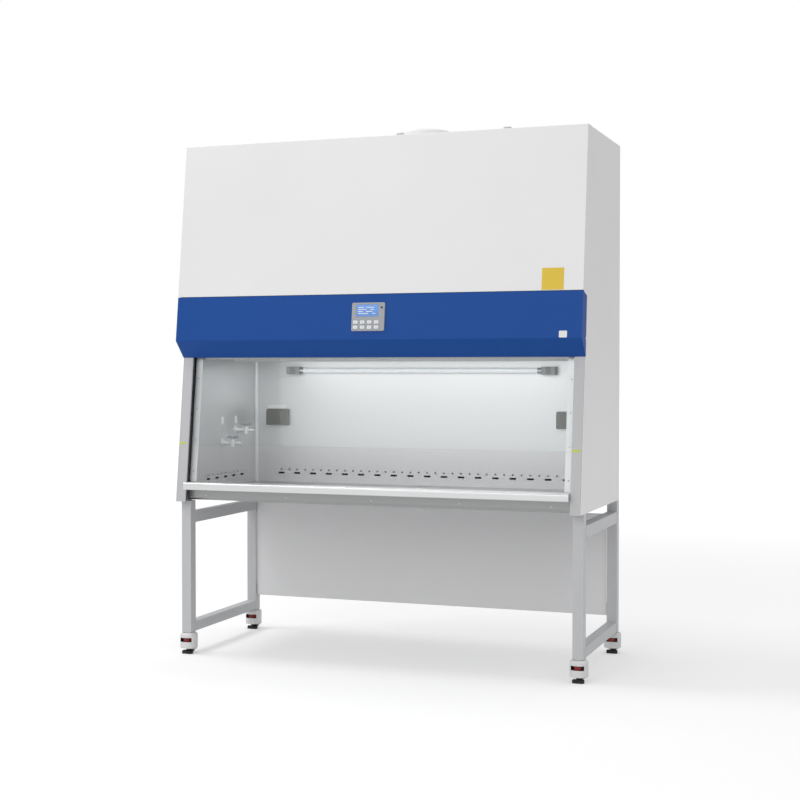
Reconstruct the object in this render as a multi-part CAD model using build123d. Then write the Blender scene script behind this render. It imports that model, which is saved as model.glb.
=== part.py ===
from build123d import *
import os
from math import cos, pi, radians, sin, tan

# Class II biosafety cabinet on its stand, millimetres, +Z up, front towards -Y.
# The drawing frame has y = 0 at the lower front edge of the side panels. Every solid is
# shifted on export, so that the part's origin lies on the floor under the middle of its box.

# Whole cabinet
WIDTH = 1873.0              # outside, over the hood's side wings
DEPTH = 775.0               # side panels, lower front edge to back
BODY_BOTTOM = 702.0         # underside of the cabinet above the floor
BODY_TOP = 2320.0           # roof above the floor
SLANT = 7.0                 # degrees that the front leans back
SHEET = 1.5                 # painted casing sheet
FLANGE = 20.0               # inward folds of the casing sheets
GAP = 1.0                   # half of the joint line between the two hood panels

# Hood: white upper panel and blue control band, stepped forward of the pillars
HOOD_STEP = 83.5            # hood face ahead of the pillar face, along Y
BAND_TOP = 1627.0           # joint between the white panel and the blue band
CREASE = 1430.0             # fold where the chin starts
CHIN_BOTTOM = 1354.0        # lower edge of the chin
WING_DEPTH = 72.0           # side returns of the hood
WING_DROP = 20.0            # slope of the blue wing's top edge
NOTCH = 12.0                # relief notch in the blue wing
LIP = 12.0                  # fold under the chin
PANEL_INSET = 22.0          # side panel's edge behind the hood face

# Front pillars and sash
PILLAR_WIDTH = 47.0
PILLAR_LIP = 6.0
PILLAR_RETURN = 58.0
PILLAR_TOP = 1394.0
TRACK_WIDTH = 28.0
TRACK_STANDOFF = 5.0        # pillar's inner edge to the track
TRACK_DEPTH = 34.0
TRACK_TOP = 2010.0
GLASS = 6.0
GLASS_SETBACK = 19.0        # pillar face to the glass
GLASS_PLAY = 0.8            # glass in its track
GLASS_BITE = 14.0           # glass edge inside the track
SASH_BOTTOM = 962.0         # working height of the lower edge
SASH_HEIGHT = 645.0         # along the slant
CLAMP_WIDTH = 36.0
CLAMP_HEIGHT = 30.0
CLAMP_WALL = 3.0
BELT_WIDTH = 15.0
BELT = 2.0
BELT_PLAY = 0.4
PULLEY_RADIUS = 12.0
PULLEY_FLANGE = 1.5
SHAFT_RADIUS = 6.0
RUNNING = 0.06              # radial clearance of a turning shaft
UPPER_SHAFT_Z = 1985.0
LOWER_SHAFT_Z = 1384.0
BRACKET = 4.5
MOTOR_RADIUS = 20.0

# Work chamber, brushed liner
CHAMBER_SIDE = 81.5         # cabinet's side to the chamber wall
RETURN_DUCT = 115.0         # chamber's rear wall to the cabinet's back
CHAMBER_TOP = 1354.0
LINER = 1.5
LINER_SETBACK = 35.0        # liner's front fold behind the pillar face
COVE = 18.0                 # rounded rear corners
SLOT_LENGTH = 33.0
SLOT_HEIGHT = 9.0
SLOT_Z = 794.0
SLOT_MARGIN = 120.0         # least distance from a corner to a slot's middle
BACK_PITCH = 84.0
SIDE_PITCH = 86.5
SIDE_SLOT_Y = 163.0
HOLE_RADIUS = 4.0
HOLE_RISE = 17.0            # small holes above the slots
WORK_Z = 750.0
TRAY_FRONT = 159.5
TRAY_EDGE = 15.0
PAN_TOP = 740.0
PAN_WALL = 2.0
PAN_SIDE = 8.5              # pan's side wall inside the side panel
RIBS = 4
RIB = 3.0
ARMREST_TOP = 791.0
ARMREST_FRONT = -20.0
ARMREST_NOSE = 33.0         # height of the armrest's front
ARMREST_BACK = 47.0
APRON_BOTTOM = 717.0
PAN_FRONT = 105.0           # the pan stands back under the apron
FIT = 0.5                   # flat pieces set between walls
GRILLE_SLOT = (28.0, 9.0)
GRILLE_PITCH = 42.0
DIFFUSER_FRONT = 130.0
DIFFUSER_DROP = 7.0

# Air handling above the chamber
FILTER_FRONT = 145.0
FILTER_HEIGHT = 80.0
FILTER_OVERLAP = 7.0        # supply filter's frame over the liner's top edge
FILTER_WALL = 15.0
PLEATS = 44
PLEAT_SHEET = 2.0
PLENUM_TOP = 1800.0
PLENUM_SETBACK = 75.0
BLOWER_X = -430.0
BLOWER_Z = 2010.0
BLOWER_SETBACK = 230.0      # blower axis ahead of the chamber's rear wall
BLOWER_WIDTH = 200.0
SCROLL_START = 138.0
SCROLL_END = 210.0
SCROLL_SWEEP = 300.0
SCROLL_SHEET = 2.0
INLET_RADIUS = 95.0
WHEEL_RADIUS = 122.0
WHEEL_WIDTH = 170.0
BLADES = 30
BLADE = 2.0
BLADE_DEPTH = 24.0
HUB_RADIUS = 20.0
FAN_SHAFT_RADIUS = 8.0
FAN_MOTOR_RADIUS = 55.0
FAN_MOTOR_LENGTH = 90.0
EXHAUST_X = 125.0
EXHAUST_SETBACK = 270.0     # exhaust outlet ahead of the chamber's rear wall
COLLAR_RADIUS = 125.0
COLLAR_HEIGHT = 47.0
COLLAR_WALL = 2.5
COLLAR_BEVEL = 9.0
EXHAUST_FILTER = (540.0, 400.0, 120.0)
RISER_ROOM = 150.0          # exhaust filter's underside below the roof
ELECTRICS = (290.0, 300.0, 260.0)
ELECTRICS_INSET = (155.0, 185.0)
GLAND_INSET = (55.0, 75.0)

# Control panel on the blue band
PANEL_X = -4.0
PANEL_Z = 1527.5
PANEL = (152.0, 124.0, 6.0)
PANEL_CORNER = 6.0
PANEL_SEAT = 0.05           # bezel on the band's face
HOUSING = (140.0, 112.0, 25.0)
CUTOUT_PLAY = 2.0
SCREEN = (106.0, 55.0, 2.0)
SCREEN_AT = (-3.5, 27.0)
EYE_AT = (62.0, 40.0)
EYE_RADIUS = 5.0
BUTTON = (20.0, 14.0)
BUTTON_COLUMNS = 4
BUTTON_ROWS = 2
BUTTON_PITCH = (32.3, 22.2)
BUTTON_AT = (-8.5, -34.5)   # middle of the button group
BUTTON_PROUD = 2.0
BUTTON_DEPTH = 12.5
BUTTON_ROOM = 2.5           # travel room under a button
BUTTON_PLAY = 0.3

# Fittings in the chamber
LAMP_Z = 1295.0
LAMP_RADIUS = 13.0
LAMP_LENGTH = 1206.0
HOLDER = (70.0, 36.0, 37.0)
WORK_LAMP = (34.0, 10.0)    # lamp bar's depth and height under the ceiling
WORK_LAMP_Y = 332.0
WORK_LAMP_INSET = 60.0      # chamber wall to the lamp bar's end
SOCKET = (117.0, 8.0, 70.0)
SOCKET_Z = 1064.0
SOCKET_INSET = 125.5        # chamber wall to the socket's middle
OUTLET_RADIUS = 17.0
LID_DEPTH = 12.0
LID_WALL = 2.0
LID_CLEAR = 0.3
LID_RIBS = 4
HINGE_RADIUS = 4.0
HINGE_PIN = 2.0
TAPS = ((305.0, 955.0), (446.0, 1010.0))
TAP_REACH = 55.0
TAP_FLANGE = 20.0
TAP_PIPE = 9.0
TAP_BODY = 13.0
TAP_STEM = 4.0
TAP_LEVER = (60.0, 11.0, 8.0)
NOZZLE = 42.0

# Stand
TUBE = 46.0
TUBE_WALL = 2.5
RAIL_HEIGHT = 44.0
LEG_BOTTOM = 98.0
LEG_FRONT = 54.0
LEG_PLATE = 4.0
UPPER_RAIL_Z = 600.0
UPPER_RAIL_HEIGHT = 50.0
LOWER_RAIL_Z = 100.0
CROSS_DEPTH = 31.5
CROSS_Z = (178.0, 590.0)
BACK_PANEL_Z = (172.0, 638.0)
BACK_PANEL_GAP = 4.0

# Levelling casters, drawn round their swivel axis, pad to the front
CASTER = 76.0
CASTER_CORNER = 33.0
CASTER_BOTTOM = 26.0
CASTER_TOP = 95.0
WASHER_RADIUS = 20.0
SWIVEL_CLEAR = 0.2
CASTER_STEM = 125.0
WINDOW_WIDTH = 56.0
WINDOW_Z = (55.7, 74.3)
DIAL_RADIUS = 19.0
DIAL_GRIPS = 18
SEAT = 0.3
PAD = (50.0, 25.0, 14.0)
PAD_Y = -14.0
PAD_STEM_TOP = 78.0
PAD_BORE_TOP = 90.0
CASTER_WHEEL_RADIUS = 20.0
CASTER_WHEEL_WIDTH = 26.0
CASTER_WHEEL_Y = 20.0
WHEEL_LIFT = 3.0            # wheel above the floor while the pad carries
AXLE_RADIUS = 4.0
WHEEL_PLAY = 2.0
EAR = 8.0

# Worked out from the above
TILT = radians(SLANT)
SLOPE = tan(TILT)
SKIN = SHEET / 2 / cos(TILT)             # half a slanted sheet, measured along Y
HALF = WIDTH / 2
SIDE_X = HALF - SHEET                    # outer face of the side panels
SIDE_INNER = SIDE_X - SHEET
PILLAR_INNER = SIDE_X - PILLAR_WIDTH
TRACK_X = PILLAR_INNER + TRACK_STANDOFF
WALL_X = HALF - CHAMBER_SIDE
CHAMBER_BACK = DEPTH - RETURN_DUCT
BACK_SLOTS = 2 * (int((WALL_X - SLOT_MARGIN - BACK_PITCH / 2) / BACK_PITCH) + 1)
SIDE_SLOTS = int((CHAMBER_BACK - SLOT_MARGIN - SIDE_SLOT_Y) / SIDE_PITCH) + 1
GRILLE_SLOTS = int((2 * WALL_X - 20) / GRILLE_PITCH)
RIB_PITCH = 2 * WALL_X / (RIBS + 0.5)
BLOWER = (BLOWER_X, CHAMBER_BACK - BLOWER_SETBACK, BLOWER_Z)
EXHAUST = (EXHAUST_X, CHAMBER_BACK - EXHAUST_SETBACK)
RISER_TOP = BODY_TOP - RISER_ROOM
SOCKET_X = (SOCKET_INSET - WALL_X, WALL_X - SOCKET_INSET)
GLASS_X = TRACK_X + GLASS_BITE
GLASS_BACK = GLASS_SETBACK + GLASS
BELT_DEPTH = GLASS_BACK + 7.0            # front run of the belt behind the pillar face
BELT_X = TRACK_X - 17.5
SHAFT_DEPTH = BELT_DEPTH + PULLEY_RADIUS + BELT / 2
PAN_FLOOR = BODY_BOTTOM + SHEET + PAN_WALL
FILTER_X = WALL_X + FILTER_OVERLAP
FILTER_TOP = CHAMBER_TOP + FILTER_HEIGHT
WING_BACK_TOP = BAND_TOP - WING_DROP
LEG_X = SIDE_X - TUBE / 2
LEG_Y = (LEG_FRONT + TUBE / 2, DEPTH - TUBE / 2)
FRONT_REACH = ARMREST_FRONT
BACK_REACH = LEG_Y[1] + max(CASTER / 2, CASTER_WHEEL_Y + CASTER_WHEEL_RADIUS)
Y_CENTRE = (FRONT_REACH + BACK_REACH) / 2

SLANTED = Plane(origin=(0, 0, BODY_BOTTOM), x_dir=(0, cos(TILT), -sin(TILT)), z_dir=(1, 0, 0))


def front_y(z, offset=0.0):
    """Y of the pillar face at height z, moved back by offset."""
    return (z - BODY_BOTTOM) * SLOPE + offset


def hood_y(z, offset=0.0):
    """Y of the hood face at height z, moved back by offset."""
    return front_y(z, offset - HOOD_STEP)


def along(z):
    """Distance up the slanted face to height z."""
    return (z - BODY_BOTTOM) / cos(TILT)


def block(x0, x1, y0, y1, z0, z1):
    """Box between two corners."""
    return Pos((x0 + x1) / 2, (y0 + y1) / 2, (z0 + z1) / 2) * Box(x1 - x0, y1 - y0, z1 - z0)


def prism(points, x0, x1):
    """Outline in Y and Z, carried from x0 to x1."""
    return extrude(Plane.YZ.offset(x0) * make_face(Polyline(*points, close=True)), amount=x1 - x0)


def folded(points, radii, thickness, x0, x1):
    """Sheet folded along a Y and Z path, carried from x0 to x1."""
    path = FilletPolyline(*points, radius=radii)
    return extrude(Plane.YZ.offset(x0) * trace(path, line_width=thickness), amount=x1 - x0)


def slanted_block(x0, x1, depth0, depth1, up0, up1):
    """Box square to the slanted face: depth is measured in from the face, up along it."""
    face = Pos((depth0 + depth1) / 2, (up0 + up1) / 2) * Rectangle(depth1 - depth0, up1 - up0)
    return extrude(SLANTED.offset(x0) * face, amount=x1 - x0)


def tube(x0, x1, y0, y1, z0, z1, axis):
    """Square tube between two corners, open at both ends along the axis."""
    x, y, z = [0 if i == axis else TUBE_WALL for i in range(3)]
    return block(x0, x1, y0, y1, z0, z1) - block(x0 + x, x1 - x, y0 + y, y1 - y, z0 + z, z1 - z)


def cylinder_x(x0, x1, y, z, radius):
    """Round bar along X."""
    return Pos((x0 + x1) / 2, y, z) * Rot(0, 90, 0) * Cylinder(radius, x1 - x0)


def cylinder_z(x, y, z0, z1, radius):
    """Round bar along Z."""
    return Pos(x, y, (z0 + z1) / 2) * Cylinder(radius, z1 - z0)


def slanted_cylinder(x0, x1, depth, up, radius):
    """Round bar along X, placed by depth and distance up the slanted face."""
    return extrude(SLANTED.offset(x0) * (Pos(depth, up) * Circle(radius)), amount=x1 - x0)


def both_sides(solid):
    """A right-hand solid and its mirror image."""
    return [solid, mirror(solid, about=Plane.YZ)]


def coved(solid):
    """Rounds the rear upright edges to follow the chamber's corners."""
    return fillet(solid.edges().filter_by(Axis.Z).group_by(Axis.Y)[-1], COVE)


def fused(first, *others):
    """One solid from touching pieces."""
    for other in others:
        first = first + other
    return first


def side_panels():
    """Painted side sheets with folded flanges at back, top and bottom."""
    outline = [(0, BODY_BOTTOM), (DEPTH, BODY_BOTTOM), (DEPTH, BODY_TOP),
               (hood_y(BODY_TOP, PANEL_INSET), BODY_TOP),
               (hood_y(CREASE + LIP, PANEL_INSET), CREASE + LIP),
               (front_y(CHIN_BOTTOM + 16), CHIN_BOTTOM + 16)]
    plate = prism(outline, SIDE_INNER, SIDE_X)
    inner = SIDE_INNER - FLANGE
    back = block(inner, SIDE_INNER, DEPTH - 2 * SHEET, DEPTH - SHEET, BODY_BOTTOM, BODY_TOP - SHEET)
    top = block(inner, SIDE_INNER, hood_y(BODY_TOP, PANEL_INSET + 6), DEPTH - SHEET, BODY_TOP - 2 * SHEET,
                BODY_TOP - SHEET)
    bottom = block(inner, SIDE_INNER, PILLAR_RETURN + 3, DEPTH - SHEET, BODY_BOTTOM, BODY_BOTTOM + SHEET)
    return both_sides(fused(plate, back, top, bottom))


def front_pillars():
    """Folded corner posts that cover the sash edges."""
    half = SHEET / 2
    path = FilletPolyline((PILLAR_INNER + half, PILLAR_LIP), (PILLAR_INNER + half, half),
                          (SIDE_INNER - half, half), (SIDE_INNER - half, PILLAR_RETURN), radius=3)
    section = Pos(0, 0, BODY_BOTTOM) * trace(path, line_width=SHEET)
    return both_sides(extrude(section, amount=along(PILLAR_TOP), dir=(0, sin(TILT), cos(TILT))))


def roof_panel():
    """Roof sheet with the exhaust hole."""
    front = hood_y(BODY_TOP, PANEL_INSET + 4)
    sheet = block(-SIDE_INNER, SIDE_INNER, front, DEPTH - SHEET, BODY_TOP - SHEET, BODY_TOP)
    return sheet - cylinder_z(*EXHAUST, BODY_TOP - 10, BODY_TOP + 10, COLLAR_RADIUS - COLLAR_WALL)


def back_panel():
    """Rear sheet of the cabinet."""
    return block(-SIDE_INNER, SIDE_INNER, DEPTH - SHEET, DEPTH, BODY_BOTTOM, BODY_TOP)


def upper_front_panel():
    """White upper panel: slanted face, top hem and side wings."""
    half = SHEET / 2
    low = BAND_TOP + GAP
    top = BODY_TOP - half
    path = [(hood_y(low, SKIN), low), (hood_y(top, SKIN), top), (hood_y(top, PANEL_INSET - FIT), top)]
    face = folded(path, 3, SHEET, -HALF, HALF)
    outline = [(hood_y(low, SKIN), low), (hood_y(low, WING_DEPTH), low),
               (hood_y(BODY_TOP, WING_DEPTH), BODY_TOP), (hood_y(BODY_TOP, 4), BODY_TOP),
               (hood_y(BODY_TOP - 4, SKIN), BODY_TOP - 4)]
    right, left = both_sides(prism(outline, SIDE_X, HALF))
    return fused(face, right, left)


def hood_plane():
    """Plane on the blue band's face at the control panel, Y up the slope, Z out of it."""
    origin = (PANEL_X, hood_y(PANEL_Z, -PANEL_SEAT), PANEL_Z)
    return Plane(origin=origin, x_dir=(1, 0, 0), z_dir=(0, -cos(TILT), sin(TILT)))


def control_hood():
    """Blue band: slanted face, chin, lower lip, side wings and the cut-out for the control panel."""
    half = SHEET / 2
    top = BAND_TOP - GAP
    chin_y = front_y(CHIN_BOTTOM) - SHEET
    path = [(hood_y(top, SKIN), top), (hood_y(CREASE, SKIN), CREASE), (chin_y, CHIN_BOTTOM + half)]
    face = folded(path, 5, SHEET, -HALF, HALF)
    end = PILLAR_INNER - FIT
    lip = block(-end, end, chin_y, chin_y + LIP, CHIN_BOTTOM, CHIN_BOTTOM + SHEET)
    outline = [(hood_y(top, SKIN), top), (hood_y(CREASE, SKIN), CREASE), (chin_y, CHIN_BOTTOM + half),
               (hood_y(WING_BACK_TOP, WING_DEPTH), WING_BACK_TOP)]
    wing = prism(outline, SIDE_X, HALF)
    notch_y = hood_y(CREASE, WING_DEPTH)
    wing -= block(SIDE_X - 1, HALF + 1, notch_y, DEPTH, CREASE - NOTCH / 2, CREASE + NOTCH / 2)
    right, left = both_sides(wing)
    hole = hood_plane() * Box(HOUSING[0] + 2 * CUTOUT_PLAY, HOUSING[1] + 2 * CUTOUT_PLAY, 20)
    return fused(face, lip, right, left) - hole


def exhaust_collar():
    """Round duct collar on the roof with a bevelled rim and a base flange."""
    r, z0, z1 = COLLAR_RADIUS, BODY_TOP, BODY_TOP + COLLAR_HEIGHT
    inner = r - COLLAR_WALL
    neck = z1 - COLLAR_BEVEL
    outline = Polyline((inner, z0), (r + 18, z0), (r + 18, z0 + 2), (r, z0 + 2), (r, neck),
                       (r - COLLAR_BEVEL, z1), (inner - COLLAR_BEVEL, z1), (inner, neck), close=True)
    return Pos(*EXHAUST, 0) * revolve(Plane.XZ * make_face(outline), Axis.Z)


def intake_cuts(positions, along_x, at):
    """Round-ended intake slots with a small hole above each and between each pair."""
    cuts = []
    for i, place in enumerate(positions):
        slot = extrude(SlotOverall(SLOT_LENGTH, SLOT_HEIGHT), amount=20, both=True)
        holes = [extrude(Pos(0, HOLE_RISE) * Circle(HOLE_RADIUS), amount=20, both=True)]
        if i + 1 < len(positions):
            middle = (positions[i + 1] - place) / 2
            holes.append(extrude(Pos(middle, HOLE_RISE) * Circle(HOLE_RADIUS), amount=20, both=True))
        if along_x:
            plane = Plane(origin=(place, at, SLOT_Z), x_dir=(1, 0, 0), z_dir=(0, -1, 0))
        else:
            plane = Plane(origin=(at, place, SLOT_Z), x_dir=(0, 1, 0), z_dir=(1, 0, 0))
        cuts += [plane * cut for cut in [slot] + holes]
    return cuts


def liner_side_walls():
    """Side walls of the chamber with a rounded rear corner, a slanted front fold and intake slots."""
    half = LINER / 2
    path = FilletPolyline((WALL_X + half, ARMREST_BACK + 2), (WALL_X + half, CHAMBER_BACK + half),
                          (WALL_X - COVE - 2, CHAMBER_BACK + half), radius=COVE)
    wall = Pos(0, 0, PAN_FLOOR) * extrude(trace(path, line_width=LINER), amount=CHAMBER_TOP - PAN_FLOOR)
    step, top = ARMREST_TOP + 1, CHAMBER_TOP + 9
    slope_cut = prism([(0, step), (front_y(step, LINER_SETBACK), step), (front_y(top, LINER_SETBACK), top),
                       (0, top)], 0, HALF)
    fold = slanted_block(WALL_X, PILLAR_INNER - FIT, LINER_SETBACK, LINER_SETBACK + LINER, 0, along(top + 30))
    fold &= block(0, HALF, 0, DEPTH, step, CHAMBER_TOP)
    places = [SIDE_SLOT_Y + i * SIDE_PITCH for i in range(SIDE_SLOTS)]
    notch = block(0, HALF, 0, PAN_FRONT + PAN_WALL + FIT, BODY_BOTTOM, PAN_TOP + FIT)
    wall = fused(wall - slope_cut - notch, fold)
    for cut in intake_cuts(places, False, WALL_X):
        wall -= cut
    return both_sides(wall)


def liner_back_wall():
    """Rear wall of the chamber with its row of intake slots."""
    x = WALL_X - COVE - 2
    wall = block(-x, x, CHAMBER_BACK, CHAMBER_BACK + LINER, PAN_FLOOR, CHAMBER_TOP)
    places = [(i - (BACK_SLOTS - 1) / 2) * BACK_PITCH for i in range(BACK_SLOTS)]
    for cut in intake_cuts(places, True, CHAMBER_BACK):
        wall -= cut
    return wall


def base_pan():
    """Spill pan under the work surface with its support ribs."""
    x = SIDE_INNER - PAN_SIDE
    y0, y1 = PAN_FRONT, DEPTH - 2 * SHEET
    pan = block(-x, x, y0, y1, PAN_FLOOR - PAN_WALL, PAN_TOP)
    pan -= block(-x + PAN_WALL, x - PAN_WALL, y0 + PAN_WALL, y1 - PAN_WALL, PAN_FLOOR, PAN_TOP + 1)
    for i in range(RIBS):
        rib_x = (i - (RIBS - 1) / 2) * RIB_PITCH
        pan += block(rib_x - RIB / 2, rib_x + RIB / 2, TRAY_FRONT + 20, CHAMBER_BACK - 10, PAN_FLOOR - 1,
                     WORK_Z - LINER)
    return pan


def work_tray():
    """Lift-out work surface, a shallow pan turned upside down."""
    x, y0, y1 = WALL_X - 2, TRAY_FRONT, CHAMBER_BACK - 2
    tray = coved(block(-x, x, y0, y1, WORK_Z - TRAY_EDGE, WORK_Z))
    tray = fillet(tray.edges().group_by(Axis.Z)[-1], 1.0)
    return tray - block(-x + LINER, x - LINER, y0 + LINER, y1 - LINER, WORK_Z - TRAY_EDGE - 1, WORK_Z - LINER)


def armrest():
    """Folded front rail: rounded armrest, step under it and the apron below."""
    half = SHEET / 2
    top, nose = ARMREST_TOP - half, ARMREST_TOP - ARMREST_NOSE + half
    front, back = ARMREST_FRONT + half, ARMREST_BACK - half
    path = [(ARMREST_BACK, top), (front, top), (front, nose), (back, nose), (back, APRON_BOTTOM + half),
            (PAN_FRONT, APRON_BOTTOM + half)]
    end = PILLAR_INNER - FIT
    rail = folded(path, (9, 4, 3, 3), SHEET, -end, end)
    cap = prism([(back, top), (front, top), (front, nose), (back, nose)], end - SHEET, end)
    cap = fillet(cap.edges().filter_by(Axis.X).group_by(Axis.Y)[0].sort_by(Axis.Z)[-1], 9)
    return fused(rail, *both_sides(cap))


def front_grille():
    """Air intake grille that slopes from the armrest down to the work surface."""
    half = SHEET / 2
    path = [(ARMREST_BACK, ARMREST_TOP - half), (ARMREST_BACK + 26, ARMREST_TOP - half),
            (TRAY_FRONT - half, WORK_Z + 1), (TRAY_FRONT - half, WORK_Z - TRAY_EDGE)]
    grille = folded(path, 3, SHEET, -WALL_X + 2, WALL_X - 2)
    for row in (0, 1, 2):
        y = ARMREST_BACK + 34 + row * 23
        for i in range(GRILLE_SLOTS):
            x = (i - (GRILLE_SLOTS - 1) / 2) * GRILLE_PITCH
            half = GRILLE_SLOT[0] / 2
            grille -= block(x - half, x + half, y, y + GRILLE_SLOT[1], WORK_Z, ARMREST_TOP + 5)
    return grille


def diffuser():
    """Perforated ceiling tray under the supply filter."""
    x, y0, y1 = WALL_X - 3, DIFFUSER_FRONT, CHAMBER_BACK - 3
    z0 = CHAMBER_TOP - DIFFUSER_DROP
    tray = coved(block(-x, x, y0, y1, z0, CHAMBER_TOP))
    return tray - block(-x + LINER, x - LINER, y0 + LINER, y1 - LINER, z0 + LINER, CHAMBER_TOP + 1)


def pleated_filter(x0, x1, y0, y1, z0, z1, pleats):
    """Filter frame and the folded media pack inside it, as two solids."""
    wall = FILTER_WALL
    frame = block(x0, x1, y0, y1, z0, z1) - block(x0 + wall, x1 - wall, y0 + wall, y1 - wall, z0 - 1, z1 + 1)
    run = (x1 - x0 - 2 * wall) / pleats
    low, high = z0 + wall / 2, z1 - wall / 2
    folds = (low, high - PLEAT_SHEET * 3)
    lower = [(x0 + wall + i * run / 2, folds[i % 2]) for i in range(2 * pleats + 1)]
    upper = [(x, z + PLEAT_SHEET * 3) for x, z in reversed(lower)]
    media = Plane.XZ.offset(-(y1 - wall)) * make_face(Polyline(*lower, *upper, close=True))
    return [frame, extrude(media, amount=y1 - y0 - 2 * wall)]


def supply_filter():
    """Supply filter above the diffuser."""
    back = CHAMBER_BACK + LINER + 1
    return pleated_filter(-FILTER_X, FILTER_X, FILTER_FRONT, back, CHAMBER_TOP, FILTER_TOP, PLEATS)


def exhaust_filter():
    """Exhaust filter on top of the riser, under the roof outlet."""
    w, d, h = EXHAUST_FILTER
    x, y = EXHAUST[0], EXHAUST[1] + 60
    return pleated_filter(x - w / 2, x + w / 2, y - d / 2, y + d / 2, RISER_TOP, RISER_TOP + h, PLEATS // 3)


def scroll_tongue():
    """Y of the inner side of the blower outlet."""
    return BLOWER[1] + SCROLL_START * cos(radians(SCROLL_SWEEP))


def plenum_box():
    """Pressure plenum on the supply filter, with the riser to the exhaust filter."""
    def outline(inset):
        low, top, back = FILTER_TOP - (1 if inset else 0), PLENUM_TOP - inset, CHAMBER_BACK - 5 - inset
        return [(front_y(FILTER_TOP, PLENUM_SETBACK + inset), low), (back, low), (back, top),
                (front_y(PLENUM_TOP, PLENUM_SETBACK + inset), top)]
    shell = prism(outline(0), -FILTER_X, FILTER_X)
    shell -= prism(outline(SHEET), -FILTER_X + SHEET, FILTER_X - SHEET)
    w, d = (EXHAUST_FILTER[0] - FILTER_WALL) / 2, (EXHAUST_FILTER[1] - FILTER_WALL) / 2
    x, y = EXHAUST[0], EXHAUST[1] + 60
    shell += block(x - w, x + w, y - d, y + d, PLENUM_TOP - SHEET, RISER_TOP)
    w, d = w - SHEET, d - SHEET
    shell -= block(x - w, x + w, y - d, y + d, PLENUM_TOP - 5, RISER_TOP + 1)
    half = BLOWER_WIDTH / 2 - SCROLL_SHEET
    shell -= block(BLOWER[0] - half, BLOWER[0] + half, scroll_tongue() + SCROLL_SHEET,
                   BLOWER[1] + SCROLL_END - SCROLL_SHEET, PLENUM_TOP - 5, PLENUM_TOP + 5)
    return shell


def scroll_outline(shift):
    """Outline of the blower scroll: a spiral that opens into a straight outlet, moved inwards by shift."""
    steps = 15
    points = []
    for i in range(steps + 1):
        share = i / steps
        radius = SCROLL_START + (SCROLL_END - SCROLL_START) * share - shift
        angle = radians(SCROLL_SWEEP * (1 - share))
        points.append((BLOWER[1] + radius * cos(angle), BLOWER[2] + radius * sin(angle)))
    drop = PLENUM_TOP - (1 if shift else 0)
    outer, inner = (points[-1][0], drop), (points[0][0] + shift, drop)
    edges = [Spline(*points), Line(points[-1], outer), Line(outer, inner), Line(inner, points[0])]
    return make_face(edges)


def blower_housing():
    """Scroll of the blower with its two inlets, and the motor on its three-armed carrier."""
    x, y, z = BLOWER
    half = BLOWER_WIDTH / 2
    scroll = extrude(Plane.YZ.offset(x - half) * scroll_outline(0), amount=2 * half)
    room = 2 * (half - SCROLL_SHEET)
    scroll -= extrude(Plane.YZ.offset(x - room / 2) * scroll_outline(SCROLL_SHEET), amount=room)
    scroll -= cylinder_x(x - half - 5, x + half + 5, y, z, INLET_RADIUS)
    motor_end = x - half - 12
    motor = cylinder_x(motor_end - FAN_MOTOR_LENGTH, motor_end, y, z, FAN_MOTOR_RADIUS)
    for i in range(3):
        arm = block(motor_end - 6, x - half, y - 8, y + 8, z + FAN_MOTOR_RADIUS - 8, z + INLET_RADIUS + 14)
        motor += arm.rotate(Axis((x, y, z), (1, 0, 0)), 120 * i)
    motor -= cylinder_x(motor_end - FAN_MOTOR_LENGTH / 2, motor_end + 20, y, z, FAN_SHAFT_RADIUS + RUNNING)
    return [scroll, motor]


def blower_wheel():
    """Forward-curved fan wheel on its shaft."""
    x, y, z = BLOWER
    half = WHEEL_WIDTH / 2
    mid = WHEEL_RADIUS - BLADE_DEPTH / 2
    ring = cylinder_x(-3, 3, 0, 0, WHEEL_RADIUS) - cylinder_x(-4, 4, 0, 0, WHEEL_RADIUS - BLADE_DEPTH)
    wheel = cylinder_x(-2, 2, 0, 0, WHEEL_RADIUS) + Pos(half - 3, 0, 0) * ring + Pos(3 - half, 0, 0) * ring
    wheel += cylinder_x(-25, 25, 0, 0, HUB_RADIUS)
    shaft_end = -(BLOWER_WIDTH / 2 + 12 + FAN_MOTOR_LENGTH / 2 - 2)
    wheel += cylinder_x(shaft_end, 25, 0, 0, FAN_SHAFT_RADIUS)
    for i in range(BLADES):
        blade = Rot(25, 0, 0) * Box(WHEEL_WIDTH - 4, BLADE_DEPTH - 2, BLADE)
        wheel += Rot(360 * i / BLADES, 0, 0) * Pos(0, mid, 0) * blade
    return Pos(x, y, z) * wheel


def electrics():
    """Control box on the plenum and the cord gland on the roof."""
    w, d, h = ELECTRICS
    x, y = WALL_X - ELECTRICS_INSET[0], DEPTH - ELECTRICS_INSET[1]
    middle = Pos(x, y, PLENUM_TOP + h / 2)
    box = middle * Box(w, d, h) - middle * Box(w - 2 * SHEET, d - 2 * SHEET, h - 2 * SHEET)
    gx, gy = GLAND_INSET[0] - WALL_X, DEPTH - GLAND_INSET[1]
    nut = Pos(gx, gy, BODY_TOP) * extrude(RegularPolygon(15, 6), amount=10)
    dome = cylinder_z(gx, gy, BODY_TOP + 10, BODY_TOP + 22, 11)
    gland = fused(nut, fillet(dome.edges().group_by(Axis.Z)[-1], 4))
    gland -= cylinder_z(gx, gy, BODY_TOP - 1, BODY_TOP + 30, 5)
    return [box, gland]


def sash_glass():
    """Sliding front window."""
    low = along(SASH_BOTTOM)
    pane = slanted_block(-GLASS_X, GLASS_X, GLASS_SETBACK, GLASS_BACK, low, low + SASH_HEIGHT)
    return chamfer(pane.edges().filter_by(Axis.X), 0.8)


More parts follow.
